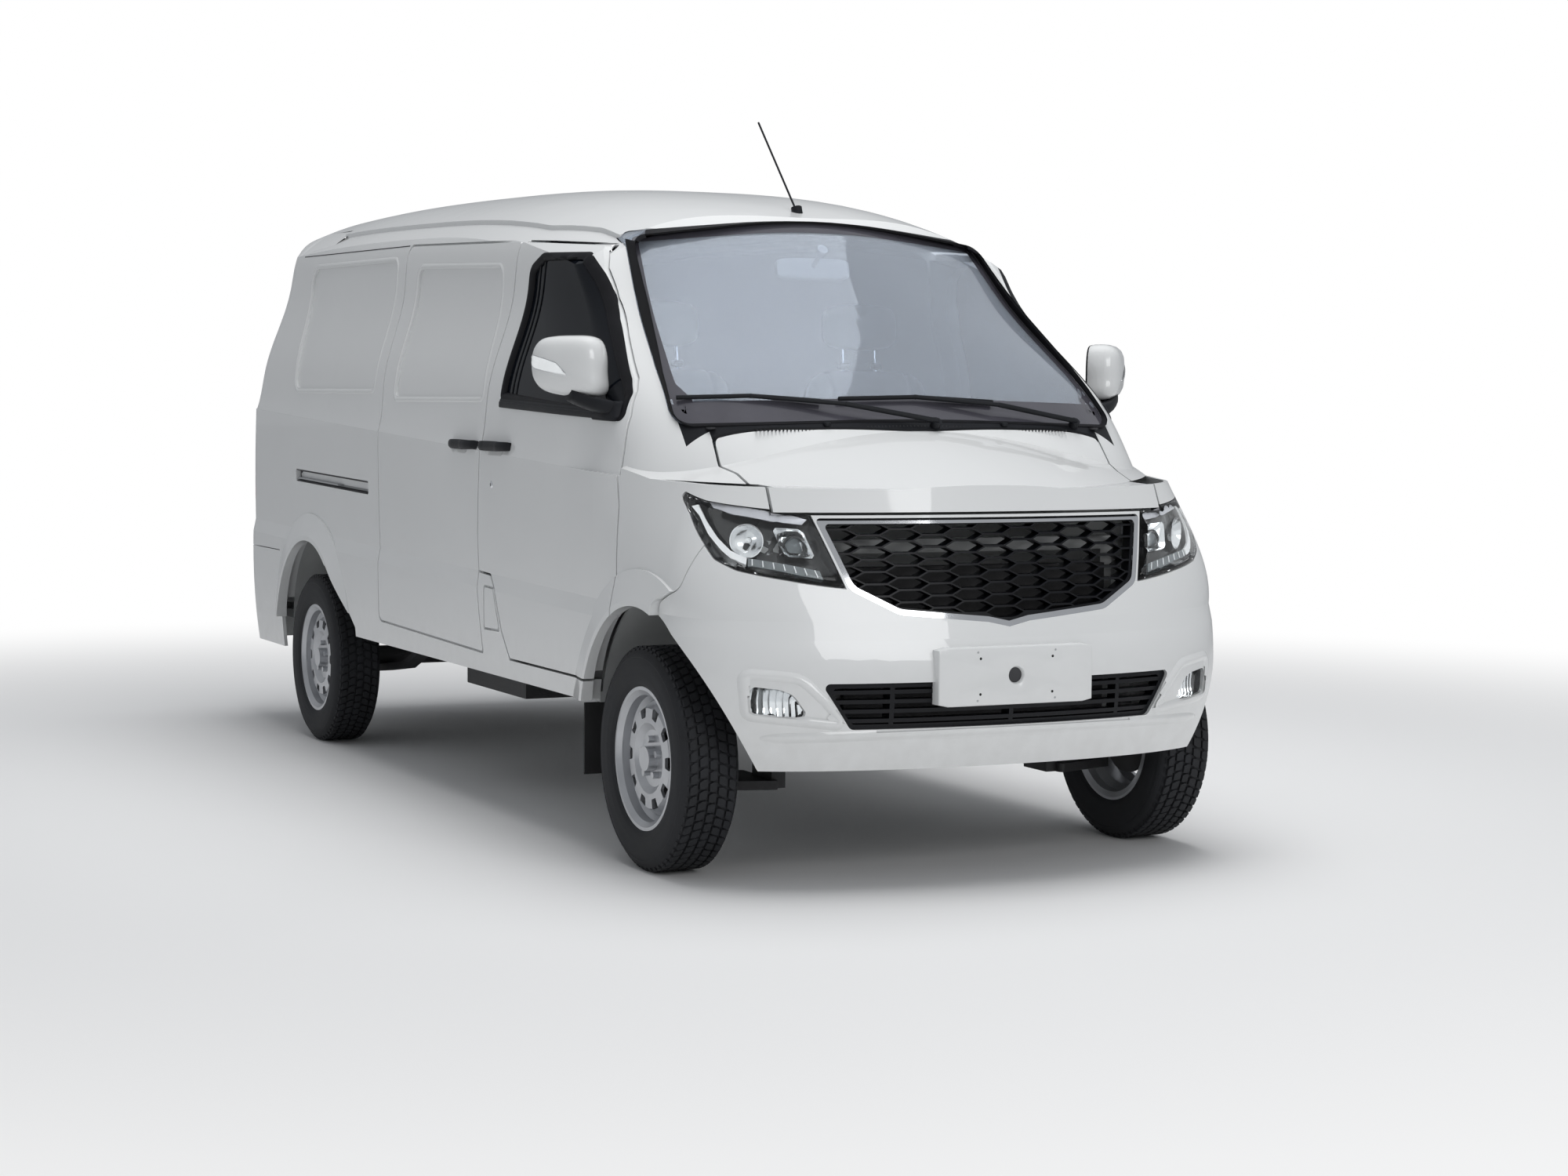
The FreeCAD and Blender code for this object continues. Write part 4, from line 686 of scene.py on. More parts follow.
def ribbon(low, high, depth, thick):
    """A strip between two edge lines, set back behind the lens, with its own thickness."""
    return lofted([behind([p, q], depth) + behind([p, q], depth + thick)[::-1]
        for p, q in zip(spread(low, 24), spread(high, 24))])


guide_outer = [(1.787, -0.729, 0.956), (1.827, -0.724, 0.933), (1.874, -0.720, 0.888),
    (1.915, -0.704, 0.852), (1.939, -0.688, 0.832), (1.966, -0.656, 0.817)]
guide_inner = [(1.808, -0.719, 0.959), (1.855, -0.715, 0.918), (1.898, -0.703, 0.879),
    (1.932, -0.684, 0.850), (1.950, -0.665, 0.838), (1.962, -0.653, 0.834)]
both_sides("headlamp_light_guide", ribbon(guide_outer, guide_inner, 0.007, 0.006), guide_white)
both_sides("headlamp_grey_guide",
    ribbon([(1.969, -0.653, 0.814), (2.008, -0.570, 0.797), (2.048, -0.481, 0.781)],
    [(1.963, -0.650, 0.832), (2.000, -0.570, 0.817), (2.039, -0.487, 0.801)], 0.008, 0.006), guide_grey)
teeth = []
for k in range(7):
    share = 0.06 + 0.88 * k / 6
    foot = Vector((1.969, -0.653, 0.816)).lerp(Vector((2.046, -0.483, 0.783)), share)
    head = Vector((1.963, -0.650, 0.830)).lerp(Vector((2.038, -0.489, 0.800)), share)
    teeth.append(tube(behind([foot, foot.lerp(head, 0.5), head], 0.0065), 0.0016, 6))
both_sides("headlamp_guide_teeth", joined(*teeth), guide_white)
both_sides("headlamp_brow", ribbon([(1.850, -0.694, 0.950), (1.896, -0.661, 0.938), (1.955, -0.579, 0.921),
    (1.986, -0.512, 0.914)], [(1.831, -0.701, 0.966), (1.899, -0.643, 0.954), (1.946, -0.575, 0.942),
    (1.985, -0.498, 0.926)], 0.006, 0.004), brow_silver)
frame_corners = [(1.957, -0.586, 0.908), (1.989, -0.512, 0.904), (2.029, -0.490, 0.829),
    (2.001, -0.566, 0.835)]
middle = sum((Vector(p) for p in frame_corners), Vector()) / 4
square = []
for i, corner in enumerate(frame_corners):
    after = Vector(frame_corners[(i + 1) % 4])
    square += [Vector(corner).lerp(after, s) for s in (0.12, 0.35, 0.65, 0.88)]
rings = [behind([p.lerp(middle, inset) for p in square], depth)
    for inset, depth in ((0.0, 0.009), (0.05, 0.006), (0.12, 0.009), (0.42, 0.030), (0.55, 0.030))]
both_sides("headlamp_projector_frame", lofted(rings, capped=False), lamp_silver, thick=0.0012)
projector_spot = behind([(1.997, -0.538, 0.867)], 0.034)[0]


def facing_front(profile, steps, place, turn_z=0.0, lift=0.0):
    """A (radius, forward) line turned about a forward-pointing axis."""
    shape = turned([(r, -d) for r, d in profile], steps)
    return moved(shape, place, turn_z=90 + turn_z, turn_x=lift)


both_sides("headlamp_projector_ring",
    facing_front([(0.024, 0.0), (0.031, 0.0), (0.031, 0.012), (0.027, 0.014), (0.024, 0.012)], 32,
    projector_spot, -18), lamp_black)
both_sides("headlamp_projector_lens",
    facing_front([(tip, 0.020), (0.008, 0.0192), (0.015, 0.0165), (0.0205, 0.012), (0.024, 0.006),
    (0.024, 0.001), (tip, 0.001)], 32, projector_spot, -18), clear_lens)
both_sides("headlamp_projector_shade", facing_front(
    [(tip, 0.0), (0.0235, 0.0), (0.0235, -0.004), (tip, -0.004)], 24, projector_spot, -18), guide_grey)
bowl_spot = behind([(1.937, -0.640, 0.884)], 0.036)[0]
dish = [(tip, -0.002), (0.012, -0.001), (0.024, 0.005), (0.034, 0.015), (0.041, 0.024), (0.0435, 0.024),
    (0.036, 0.012), (0.026, 0.002), (0.013, -0.004), (tip, -0.005)]
both_sides("headlamp_reflector", facing_front(dish, 36, bowl_spot, -38), lamp_silver)
both_sides("headlamp_bulb_cap",
    facing_front([(tip, 0.016), (0.006, 0.015), (0.0075, 0.010), (0.0075, 0.0), (tip, 0.0)], 18, bowl_spot,
    -38), lamp_silver)

# Plate holder: a white moulded block on the bumper with bolts at its outer holes and a round hollow
# in its middle, and no plate on it. The lower grille's frame runs behind it.
bolt_steel = finish("zinc_bolts", (0.45, 0.46, 0.47), 0.35, 0.1, 40, metal=0.9)
painted_hole_shade = finish("hole_shadow", (0.01, 0.01, 0.01), 0.8, 0.2, 40)
plate_low, plate_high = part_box("plate_holder")
plate_middle = Vector((plate_high.x, 0.0, (plate_low.z + plate_high.z) / 2))
half_y, half_z = (plate_high.y - plate_low.y) / 2, (plate_high.z - plate_low.z) / 2
plate_rings = []
for back, shrink, round_share in ((0.034, 0.0, 0), (0.0035, 0.0, 0), (0.0012, 0.0012, 0),
        (0.0002, 0.0040, 0), (0.0002, 0.0245, 1), (0.0015, 0.0225, 1), (0.0100, 0.0195, 1),
        (0.0125, 0.0120, 1)):
    ring = []
    for k in range(96):
        a = 2 * math.pi * (k + 0.5) / 96
        u, v = math.cos(a), math.sin(a)
        if round_share:
            ring.append(plate_middle + Vector((-back, u * shrink, v * shrink)))
        else:
            reach = min((half_y - shrink) / max(abs(u), 1e-6), (half_z - shrink) / max(abs(v), 1e-6))
            ring.append(plate_middle + Vector((-back, u * reach, v * reach)))
    plate_rings.append(ring)
plate_block = made("plate_block", lofted(plate_rings), white_paint, "body", sharp=50)
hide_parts("plate_holder")
# The holes are black discs at the holder's face: painted shade of each hole.
bolts, holes = [], []
bolt_out, bolt_up, hole_out, hole_up = 0.113, 0.061, 0.105, 0.045
for side in (-1, 1):
    for up in (-1, 1):
        spot = plate_middle + Vector((-0.0022, side * bolt_out, up * bolt_up))
        bolts.append(facing_front([(tip, 0.0021), (0.003, 0.0021), (0.0046, 0.0012), (0.0056, 0.0),
            (tip, 0.0)], 12, spot))
        holes.append(facing_front([(tip, 0.0), (0.0035, 0.0), (0.0035, -0.001), (tip, -0.001)], 16,
            plate_middle + Vector((-0.0001, side * hole_out, up * hole_up))))
made("plate_bolts", joined(*bolts), bolt_steel, "body")
made("plate_holes", joined(*holes), painted_hole_shade, "body")
made("plate_centre_hollow", facing_front([(tip, 0.0), (0.0192, 0.0), (0.0192, -0.001), (tip, -0.001)], 36,
    plate_middle - Vector((0.0095, 0, 0))), dark_plastic, "body")

# Fog lamps: a clear lens over a fluted bright reflector in the bumper's corner, with a black rim.
# The lamp's CAD solid keeps its outer face as the lens, and the reflector sits behind it.
fog_ahead = Vector((1, 0, 0))
fog_front = right_part("fog_lamps", fog_ahead, 0.55, True)
for lens_piece in both_sides("fog_lamp_lens", fog_front, clear_lens, thick=0.002):
    lens_piece.modifiers["sheet"].offset = -1
for bowl in both_sides("fog_lamp_bowl", right_part("fog_lamps", fog_ahead, 0.55, False), lamp_black,
        sharp=30):
    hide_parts("fog_lamps")
fog_face = BVHTree.FromPolygons(*fog_front)
fog_points = [Vector(p) for p in fog_front[0]]
fog_low = Vector((0, min(p.y for p in fog_points), min(p.z for p in fog_points)))
fog_high = Vector((0, max(p.y for p in fog_points), max(p.z for p in fog_points)))


def met_along_x(skin, start, near, y, z):
    """Where a skin is met along the driving direction from one x, or else nearest to another x."""
    way = Vector((math.copysign(1, near - start), 0, 0))
    spot, normal = skin.ray_cast(Vector((start, y, z)), way)[:2]
    if spot is None:
        spot, normal = skin.find_nearest(Vector((near, y, z)))[:2]
    return spot, normal


def behind_fog(y, z, depth):
    """A point set back by a depth behind the fog lamp's lens."""
    return Vector((met_along_x(fog_face, 3, 2.06, y, z)[0].x - depth, y, z))


flutes = []
fog_rim, flute_count, flute_rows = 0.008, 9, 8
flute_wide, flute_tall = fog_high.y - fog_low.y - 2 * fog_rim, fog_high.z - fog_low.z - 2 * fog_rim
for k in range(flute_count):
    y0, y1 = (fog_low.y + fog_rim + flute_wide * i / flute_count for i in (k, k + 1))
    rings = []
    for s in range(flute_rows + 1):
        z = fog_low.z + fog_rim + flute_tall * s / flute_rows
        hollow = 0.022 + 0.012 * (1 - (2 * s / flute_rows - 1) ** 2)
        rings.append([behind_fog(y0 + (y1 - y0) * u, z, hollow + 0.004 * (1 - (2 * u - 1) ** 2))
            for u in (0, 0.25, 0.5, 0.75, 1)])
    flutes.append(sheet(rings))
both_sides("fog_lamp_reflector", joined(*flutes), lamp_silver, sharp=20, thick=0.0008)

# Door mirrors: a white moulded cap over a black housing, a clear turn signal let into its outer edge,
# silvered glass at the back, and a black foot at the window's front corner. Each is drawn facing
# straight ahead and then swept back to its place on the door.
mirror_middle = Vector((1.258, -0.856, 1.306))
mirror_sweep, wider, taller = math.radians(-43.9), 1.14, 1.06
cap_back, cap_front = 1.356, 1.449
drawn_middle = Vector((1.4025, -0.907, 1.3055))


def swept(shape):
    """Turns a shape that faces ahead to the way the mirror stands, a little wider and taller."""
    points, faces = shape
    placed = []
    for p in points:
        ahead, out = p[0] - drawn_middle.x, (drawn_middle.y - p[1]) * wider
        up = (p[2] - drawn_middle.z) * taller
        placed.append((mirror_middle.x + ahead * math.cos(mirror_sweep) + out * math.sin(mirror_sweep),
            mirror_middle.y + ahead * math.sin(mirror_sweep) - out * math.cos(mirror_sweep),
            mirror_middle.z + up))
    return placed, faces


cap_outline = [(-0.9985, 1.300), (-0.994, 1.345), (-0.975, 1.371), (-0.945, 1.380), (-0.900, 1.3825),
    (-0.852, 1.381), (-0.828, 1.368), (-0.817, 1.335), (-0.8155, 1.290), (-0.817, 1.236), (-0.870, 1.228),
    (-0.925, 1.232), (-0.968, 1.244), (-0.991, 1.268)]


def smooth_loop(corners, count):
    """Evenly spaced points on a closed smooth line through flat corners."""
    found = []
    total = len(corners)
    for i in range(total):
        p0, p1, p2, p3 = (Vector(corners[(i + k - 1) % total]) for k in range(4))
        for k in range(8):
            t = k / 8
            found.append(0.5 * ((2 * p1) + (p2 - p0) * t + (2 * p0 - 5 * p1 + 4 * p2 - p3) * t * t
                                + (3 * p1 - p0 - 3 * p2 + p3) * t ** 3))
    lengths = [0.0]
    for a, b in zip(found, found[1:] + found[:1]):
        lengths.append(lengths[-1] + (b - a).length)
    line, k = [], 0
    for i in range(count):
        want = lengths[-1] * i / count
        while lengths[k + 1] < want:
            k += 1
        line.append(found[k].lerp(found[(k + 1) % len(found)],
            (want - lengths[k]) / (lengths[k + 1] - lengths[k])))
    return line


cap_line = smooth_loop(cap_outline, 56)
cap_middle = Vector((-0.905, 1.306))
cap_sections = ((0.0, 0.965), (0.10, 0.992), (0.30, 1.0), (0.52, 0.985), (0.70, 0.93), (0.84, 0.82),
    (0.93, 0.66), (0.98, 0.44), (0.998, 0.2), (1.0, 0.02))


def cap_ring(share, grow):
    """The cap's outline, scaled, at a share of the way from its back to its front."""
    ring = []
    for p in cap_line:
        at = cap_middle + (p - cap_middle) * grow
        lean = 0.020 * (at.x + 0.9985) / 0.18
        ring.append((cap_back + (cap_front - cap_back - 0.020) * share + lean * share, at.x, at.y))
    return ring


cap_rings = [cap_ring(share, grow) for share, grow in cap_sections]
both_sides("mirror_cap", swept(lofted(cap_rings)), white_paint, *front_doors, sharp=60)
housing_rings = [cap_ring(-0.045, 0.955), cap_ring(0.002, 0.975), cap_ring(0.05, 0.93)]
housings = both_sides("mirror_housing", swept(lofted(housing_rings)), black_plastic, *front_doors, sharp=50)
for piece in housings:
    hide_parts("mirror_right" if piece.name.endswith("right") else "mirror_left")
glass_rings = [cap_ring(-0.062, 0.90), cap_ring(-0.052, 0.905), cap_ring(-0.03, 0.90)]
both_sides("mirror_glass", swept(lofted(glass_rings)), mirror_silver, *front_doors, sharp=50)
cap_face = BVHTree.FromPolygons(*lofted(cap_rings))


def on_cap(y, z, lift):
    """A point on the cap's front, raised off it by the lift."""
    spot, normal = met_along_x(cap_face, 2, 1.40, y, z)
    return spot + (-normal if normal.x < 0 else normal) * lift


signal_low = [(-0.9975, 1.310), (-0.980, 1.300), (-0.950, 1.293), (-0.920, 1.287), (-0.893, 1.283)]
signal_high = [(-0.9975, 1.333), (-0.980, 1.330), (-0.950, 1.322), (-0.920, 1.312), (-0.896, 1.287)]
for grow, lift, name, material in ((0.0022, 0.0004, "mirror_signal_rim", lamp_silver),
        (0.0, 0.0012, "mirror_signal", clear_lens)):
    low = spread([(0, y, z - grow) for y, z in signal_low], 14)
    high = spread([(0, y, z + grow) for y, z in signal_high], 14)
    rings = []
    for a, b in zip(low, high):
        span = [a.lerp(b, s / 4) for s in range(5)]
        rings.append([on_cap(p.y, p.z, lift + (0.0012 if 0 < s < 4 else 0.0))
            for s, p in enumerate(span)] + [on_cap(p.y, p.z, -0.0015) for p in reversed(span)])
    both_sides(name, swept(lofted(rings)), material, *front_doors, sharp=50)
foot_plate = rounded([(1.262, 1.164, 0.01), (1.400, 1.160, 0.012), (1.384, 1.214, 0.012),
    (1.280, 1.212, 0.01)], 0.012)
arm = [(1.330, -0.764, 1.196), (1.322, -0.790, 1.202), (1.306, -0.815, 1.210), (1.288, -0.838, 1.220),
    (1.272, -0.856, 1.230)]
rings = []
for k, (x, y, z) in enumerate(arm):
    half_x, half_z = 0.044 - 0.004 * k, 0.020 - 0.001 * k
    rings.append([(x + half_x * bent(math.cos(a), 0.5), y, z + half_z * bent(math.sin(a), 0.5))
        for a in (2 * math.pi * i / 20 for i in range(20))])
sail = [[flank(p.x, p.y, lift) for p in foot_plate] for lift in (-0.006, 0.010)]
sail.append([flank(p.x, p.y, 0.014).lerp(flank(1.330, 1.188, 0.014), 0.08) for p in foot_plate])
both_sides("mirror_foot", joined(lofted(sail), lofted(rings)), black_plastic, *front_doors, sharp=45)

# Door handles: black pull handles on two feet over a shallow bowl, one on each front and sliding door,
# and a lock barrel below the front ones.


def pull_handle(x0, x1, z):
    """A bowed grip between two feet, along x at a height."""
    rings = []
    for k in range(25):
        s = k / 24
        x = x0 + (x1 - x0) * s
        rise = 0.0275 * min(1.0, 1.15 * math.sin(math.pi * s) ** 0.35) if 0 < s < 1 else 0.004
        half = 0.0145 - 0.003 * abs(2 * s - 1) ** 3
        out, inner = rise, rise - 0.011 if 0.16 < s < 0.84 else -0.002
        base = flank(x, z)
        rings.append([base + Vector((0, -o, h)) for o, h in ((inner, -half * 0.8), (inner + 0.003, -half),
            (out - 0.004, -half), (out, -half * 0.55), (out + 0.0008, 0), (out, half * 0.55),
            (out - 0.004, half), (inner + 0.003, half), (inner, half * 0.8))])
    return lofted(rings)


grip_z = 1.078
grips = (("door_handle_grip", 0.453, 0.691, grip_z, *front_doors),
    ("sliding_handle_grip", 0.189, 0.419, grip_z, "body", "body"))
for name, x0, x1, z, right_body, left_body in grips:
    for piece in both_sides(name, pull_handle(x0, x1, z), black_plastic, right_body, left_body, sharp=50):
        side = piece.name.rsplit("_", 1)[1]
        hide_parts("sliding_handles" if "sliding" in name else "door_handle_" + side)
lock = flank(0.545, 0.965)
barrel = moved(turned([(tip, -0.0028), (0.0055, -0.0028), (0.0085, -0.0022), (0.0110, -0.0008),
    (0.0118, 0.001), (tip, 0.001)], 24), lock)
both_sides("lock_barrel", barrel, bright_metal, *front_doors)
# The key slot is a black block at the barrel's face: painted shade of the keyway.
slot_block = moved(pillow((0.0022, 0.0012, 0.009), 6, 12, 8), lock + Vector((0, -0.0028, 0)))
both_sides("lock_slot", slot_block, painted_hole_shade, *front_doors)
# The fuel flap's finger hole is a black oval on its face: painted shade of the hole.
finger = flank(0.508, 0.607)
made("flap_finger_rim", moved(pillow((0.017, 0.0024, 0.034), 2.6, 20, 12), finger), black_plastic,
    "fuel_flap")

# Sliding door track: a dark channel sunk in the rear side, with the rolled lip of its lower rail,
# and a thin black strip along the sliding door's head that is painted shade of its drip gap.
track_back, track_long, track_steps = -1.484, 0.840, 30
track_z, track_rise = 0.914, 0.931 - 0.914
slot_lines = []
for k in range(track_steps + 1):
    x = track_back + track_long * k / track_steps
    z_mid = track_z + track_rise * (1 - k / track_steps)
    slot_lines.append([flank(x, z_mid + h, -0.0165 if abs(h) < 0.016 else -0.002)
        for h in (-0.0205, -0.015, -0.005, 0.005, 0.015, 0.0205)])
both_sides("track_lining", sheet(slot_lines), dark_plastic, sharp=40, thick=0.0008)
both_sides("track_rail", strip(((-1.480, 0.9215), (-0.650, 0.9045)), 0.006,
    ((-0.5, -0.016), (-0.5, -0.004), (0.5, -0.004), (0.5, -0.016)), flank), bolt_steel)
both_sides("head_drip", strip(((-1.727, 1.7145), (-0.540, 1.7045)), 0.004,
    ((-0.5, -0.0012), (-0.3, 0.0009), (0.3, 0.0009), (0.5, -0.0012)), flank, 40), seal_rubber)

# Front seats: moulded foam on a steel frame under a sewn dark cloth cover, each with a head
# restraint on two steel posts. The closed covers are blown up a little and their seams drawn in.
seat_cloth = finish("seat_cloth", (0.105, 0.108, 0.118), 0.92, 0.14, 16, 2400, 0.0005,
    sockets={"Sheen Weight": 0.35, "Sheen Roughness": 0.6})
seat_y, frames_blown, cloth_pressure = 0.330, 20, 4.0
seam_half, seam_deep = 0.0055, 0.0065


def applied(piece):
    """Turns what the modifiers make of a piece into its own mesh."""
    settled = bpy.data.meshes.new_from_object(piece.evaluated_get(bpy.context.evaluated_depsgraph_get()))
    piece.modifiers.clear()
    piece.data = settled
    return settled


def stuffed(name, shape, voxel, swell, seams):
    """A padded cover on the right seat: even cloth, blown up, smoothed and drawn in at its seams."""
    mesh = bpy.data.meshes.new(name)
    mesh.from_pydata([tuple(p) for p in shape[0]], [], shape[1])
    piece = bpy.data.objects.new(name, mesh)
    bpy.context.scene.collection.objects.link(piece)
    even = piece.modifiers.new("even_cloth", "REMESH")
    even.mode, even.voxel_size = "VOXEL", voxel
    start = [v.co.copy() for v in applied(piece).vertices]
    cloth = piece.modifiers.new("cloth", "CLOTH").settings
    cloth.use_pressure, cloth.uniform_pressure_force = True, cloth_pressure
    cloth.effector_weights.gravity = 0
    for number in range(1, frames_blown + 1):
        bpy.context.scene.frame_set(number)
    for v, was in zip(applied(piece).vertices, start):
        step = v.co - was
        if step.length > swell:
            v.co = was + step.normalized() * swell
    bpy.context.scene.frame_set(1)
    smooth = piece.modifiers.new("smooth", "SUBSURF")
    smooth.levels = smooth.render_levels = 1
    mesh = applied(piece)
    for v, normal in zip(mesh.vertices, [v.normal.copy() for v in mesh.vertices]):
        depth = max(math.exp(-(seam(v.co) / seam_half) ** 2) for seam in seams)
        v.co -= normal * seam_deep * depth
    mesh.materials.clear()
    mesh.materials.append(seat_cloth)
    for polygon in mesh.polygons:
        polygon.use_smooth = True
    return piece


def seat_pad(name, shape, voxel, swell, seams):
    """A padded cover on the right seat and its copy on the left one."""
    right = stuffed(name + "_right", shape, voxel, swell, seams)
    left_mesh = right.data.copy()
    left_mesh.transform(Matrix.Translation((0, 2 * seat_y, 0)))
    left = bpy.data.objects.new(name + "_left", left_mesh)
    bpy.context.scene.collection.objects.link(left)
    for piece in (right, left):
        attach(piece, "body")
        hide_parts("seats")


def bolstered(shape, towards, reach, rise):
    """Raises the sides of a pad towards a direction, as the bolsters do."""
    points = []
    for p in shape[0]:
        p = Vector(p)
        share = min(1.0, max(0.0, (abs(p.y) / reach - 0.58) / 0.3))
        front = 0.5 + 0.5 * math.tanh(p.dot(towards) * 40)
        points.append(p + towards * rise * share * share * (3 - 2 * share) * front)
    return points, shape[1]


cushion = bolstered(pillow((0.385, 0.432, 0.098), 5, 40, 20), Vector((0, 0, 1)), 0.216, 0.013)
cushion = moved(cushion, (0.918, -seat_y, 0.760), turn_y=-2)
seat_pad("seat_cushion", cushion, 0.010, 0.012, (lambda p: abs(abs(p.y + seat_y) - 0.134),
    lambda p: abs(p.x - 1.035) + 9 * max(0.0, abs(p.y + seat_y) - 0.134), lambda p: abs(p.z - 0.742)))
backrest = bolstered(pillow((0.088, 0.425, 0.470), 5, 40, 20), Vector((1, 0, 0)), 0.212, 0.016)
backrest = moved(backrest, (0.722, -seat_y, 1.080), turn_y=-6.8)
seat_pad("seat_back", backrest, 0.010, 0.012, (lambda p: abs(abs(p.y + seat_y) - 0.132),
    lambda p: abs(p.z - 1.175) + 9 * max(0.0, abs(p.y + seat_y) - 0.132),
    lambda p: abs(p.x + 0.119 * (p.z - 1.08) - 0.712)))
headrest = moved(pillow((0.066, 0.245, 0.135), 4, 32, 16), (0.667, -seat_y, 1.436), turn_y=-5)
seat_pad("seat_headrest", headrest, 0.007, 0.009, (lambda p: abs(p.x + 0.087 * (p.z - 1.436) - 0.661),
    lambda p: 1.0))
post_half = 0.055
for side, label in ((-1, "right"), (1, "left")):
    posts = [tube([(0.672, side * seat_y + s, 1.290), (0.668, side * seat_y + s, 1.345),
        (0.664, side * seat_y + s, 1.395)], 0.0058, 12) for s in (-post_half, post_half)]
    collars = [moved(pillow((0.030, 0.034, 0.020), 5, 16, 8), (0.673, side * seat_y + s, 1.318))
        for s in (-post_half, post_half)]
    made("headrest_posts_" + label, joined(*posts), bright_metal, "body")
    made("headrest_collars_" + label, joined(*collars), black_plastic, "body")
    base = [moved(pillow((0.380, 0.026, 0.034), 6, 20, 8), (0.905, side * seat_y + s * 0.198, 0.7185))
        for s in (-1, 1)]
    side_cover = moved(pillow((0.150, 0.016, 0.052), 5, 20, 10), (0.765, side * (seat_y + 0.226), 0.745))
    lever = tube([(0.80, side * (seat_y + 0.232), 0.742), (0.86, side * (seat_y + 0.234), 0.747),
        (0.885, side * (seat_y + 0.234), 0.757)], [0.009, 0.007, 0.006], 12)
    made("seat_runners_" + label, joined(*base), chassis_black, "body", sharp=45)
    made("seat_recliner_" + label, joined(side_cover, lever), black_plastic, "body", sharp=45)

# Steering wheel and column: a foamed rim on four spokes about a padded centre, on a moulded
# column shroud with its indicator and wiper stalks.
wheel_middle = Vector((1.115, 0.330, 1.030))
column_way = Vector((0.175, 0, -0.100)).normalized()
wheel_up = Vector((0, 1, 0)).cross(column_way) * -1
wheel_out = Vector((0, 1, 0))
rim_radius, rim_thick = 0.185, 0.0135


def on_wheel(out, up, back=0.0):
    """A point given from the steering wheel's middle, across, up its face and down the column."""
    return wheel_middle + wheel_out * out + wheel_up * up + column_way * back


rings = []
for i in range(72):
    a = 2 * math.pi * i / 72
    grip = 0.0022 if abs(abs(math.degrees(math.atan2(math.sin(a), abs(math.cos(a))))) - 18) < 12 else 0.0
    ring = []
    for k in range(14):
        b = 2 * math.pi * k / 14
        r = rim_radius + (rim_thick + grip) * math.cos(b)
        ring.append(on_wheel(r * math.cos(a), r * math.sin(a), (rim_thick + grip) * math.sin(b)))
    rings.append(ring)
wheel_rim = made("steering_rim", lofted(rings, looped=True), black_plastic, "body", sharp=60)
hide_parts("steering_wheel")
spokes = []
for a, wide in ((12, 0.020), (168, 0.020), (235, 0.015), (305, 0.015)):
    way = Vector((math.cos(math.radians(a)), math.sin(math.radians(a))))
    turn = Vector((-way.y, way.x))
    rings = []
    for s in range(7):
        reach = 0.040 + (rim_radius - 0.048) * s / 6
        half = wide * (1.35 - 0.5 * s / 6)
        sunk = 0.026 - 0.020 * s / 6
        ring = []
        for u, v in ((-1, -0.5), (-1, 0.5), (-0.6, 1), (0.6, 1), (1, 0.5), (1, -0.5), (0.6, -1), (-0.6, -1)):
            spot = way * reach + turn * (half * u)
            ring.append(on_wheel(spot.x, spot.y, sunk + 0.006 * v))
        rings.append(ring)
    spokes.append(lofted(rings))
made("steering_spokes", joined(*spokes), black_plastic, "body", sharp=40)
pad_points, pad_faces = pillow((0.150, 0.128, 0.044), 4, 32, 14)
pad_points = [on_wheel(p[0], p[1] * (1 - 0.12 * (p[1] < 0)), p[2] + 0.012) for p in pad_points]
made("steering_centre", (pad_points, pad_faces), pale_plastic, "body", sharp=50)
shroud = []
for back, half_out, half_up in ((0.036, 0.036, 0.036), (0.050, 0.052, 0.052), (0.120, 0.056, 0.060),
        (0.200, 0.060, 0.066), (0.245, 0.058, 0.062)):
    shroud.append([on_wheel(half_out * bent(math.cos(a), 0.6), half_up * bent(math.sin(a), 0.6) - 0.006,
        back) for a in (2 * math.pi * k / 28 for k in range(28))])
made("column_shroud", lofted(shroud), black_plastic, "body", sharp=40)
stalks = [tube([on_wheel(side * 0.050, 0.010, 0.075), on_wheel(side * 0.110, 0.018, 0.066),
    on_wheel(side * 0.165, 0.024, 0.052)], [0.0075, 0.0062, 0.0095], 12) for side in (-1, 1)]
made("column_stalks", joined(*stalks), black_plastic, "body", sharp=45)

# Dashboard fittings: a moulded instrument hood, four round vents, a radio panel with its buttons
# and the glove box lid, all clipped to the one-piece dashboard.
dash_skin = surface_of("dashboard")


def on_dash(y, z, lift=0.0):
    """A point on the dashboard's face towards the seats."""
    return Vector((met_along_x(dash_skin, 0.9, 1.24, y, z)[0].x - lift, y, z))


hood_rings = []
for s in range(9):
    x = 1.225 + 0.150 * s / 8
    high = 0.040 * math.cos(0.9 * s / 8)
    hood_rings.append([(x, 0.330 + 0.165 * math.cos(math.pi * k / 16),
        1.062 + high * math.sin(math.pi * k / 16) ** 0.6) for k in range(17)])
made("instrument_hood", sheet(hood_rings), black_plastic, "body", sharp=40, thick=0.004)
gauges = [moved(pillow((0.006, 0.086, 0.070), 3, 28, 10), (1.262, 0.330 + dy, 1.055))
    for dy in (-0.075, 0.075)]
made("instrument_dials", joined(*gauges), lamp_black, "body")
vents = []
for y in (-0.640, -0.115, 0.115, 0.600):
    here = on_dash(y, 0.985)
    vents.append(moved(pillow((0.020, 0.092, 0.092), 2.4, 28, 12), here))
    vents += [moved(pillow((0.010, 0.076, 0.004), 5, 12, 6), here + Vector((-0.010, 0, dz)))
        for dz in (-0.024, -0.012, 0.0, 0.012, 0.024)]
made("dash_vents", joined(*vents), black_plastic, "body", sharp=45)
radio = [moved(pillow((0.014, 0.190, 0.062), 8, 24, 10), on_dash(0.0, 0.905))]
radio += [moved(pillow((0.012, 0.026, 0.011), 5, 12, 6), on_dash(y, z, 0.009))
    for y in (-0.075, -0.045, -0.015, 0.015, 0.045, 0.075) for z in (0.889, 0.921)]
made("radio_panel", joined(*radio), black_plastic, "body", sharp=45)
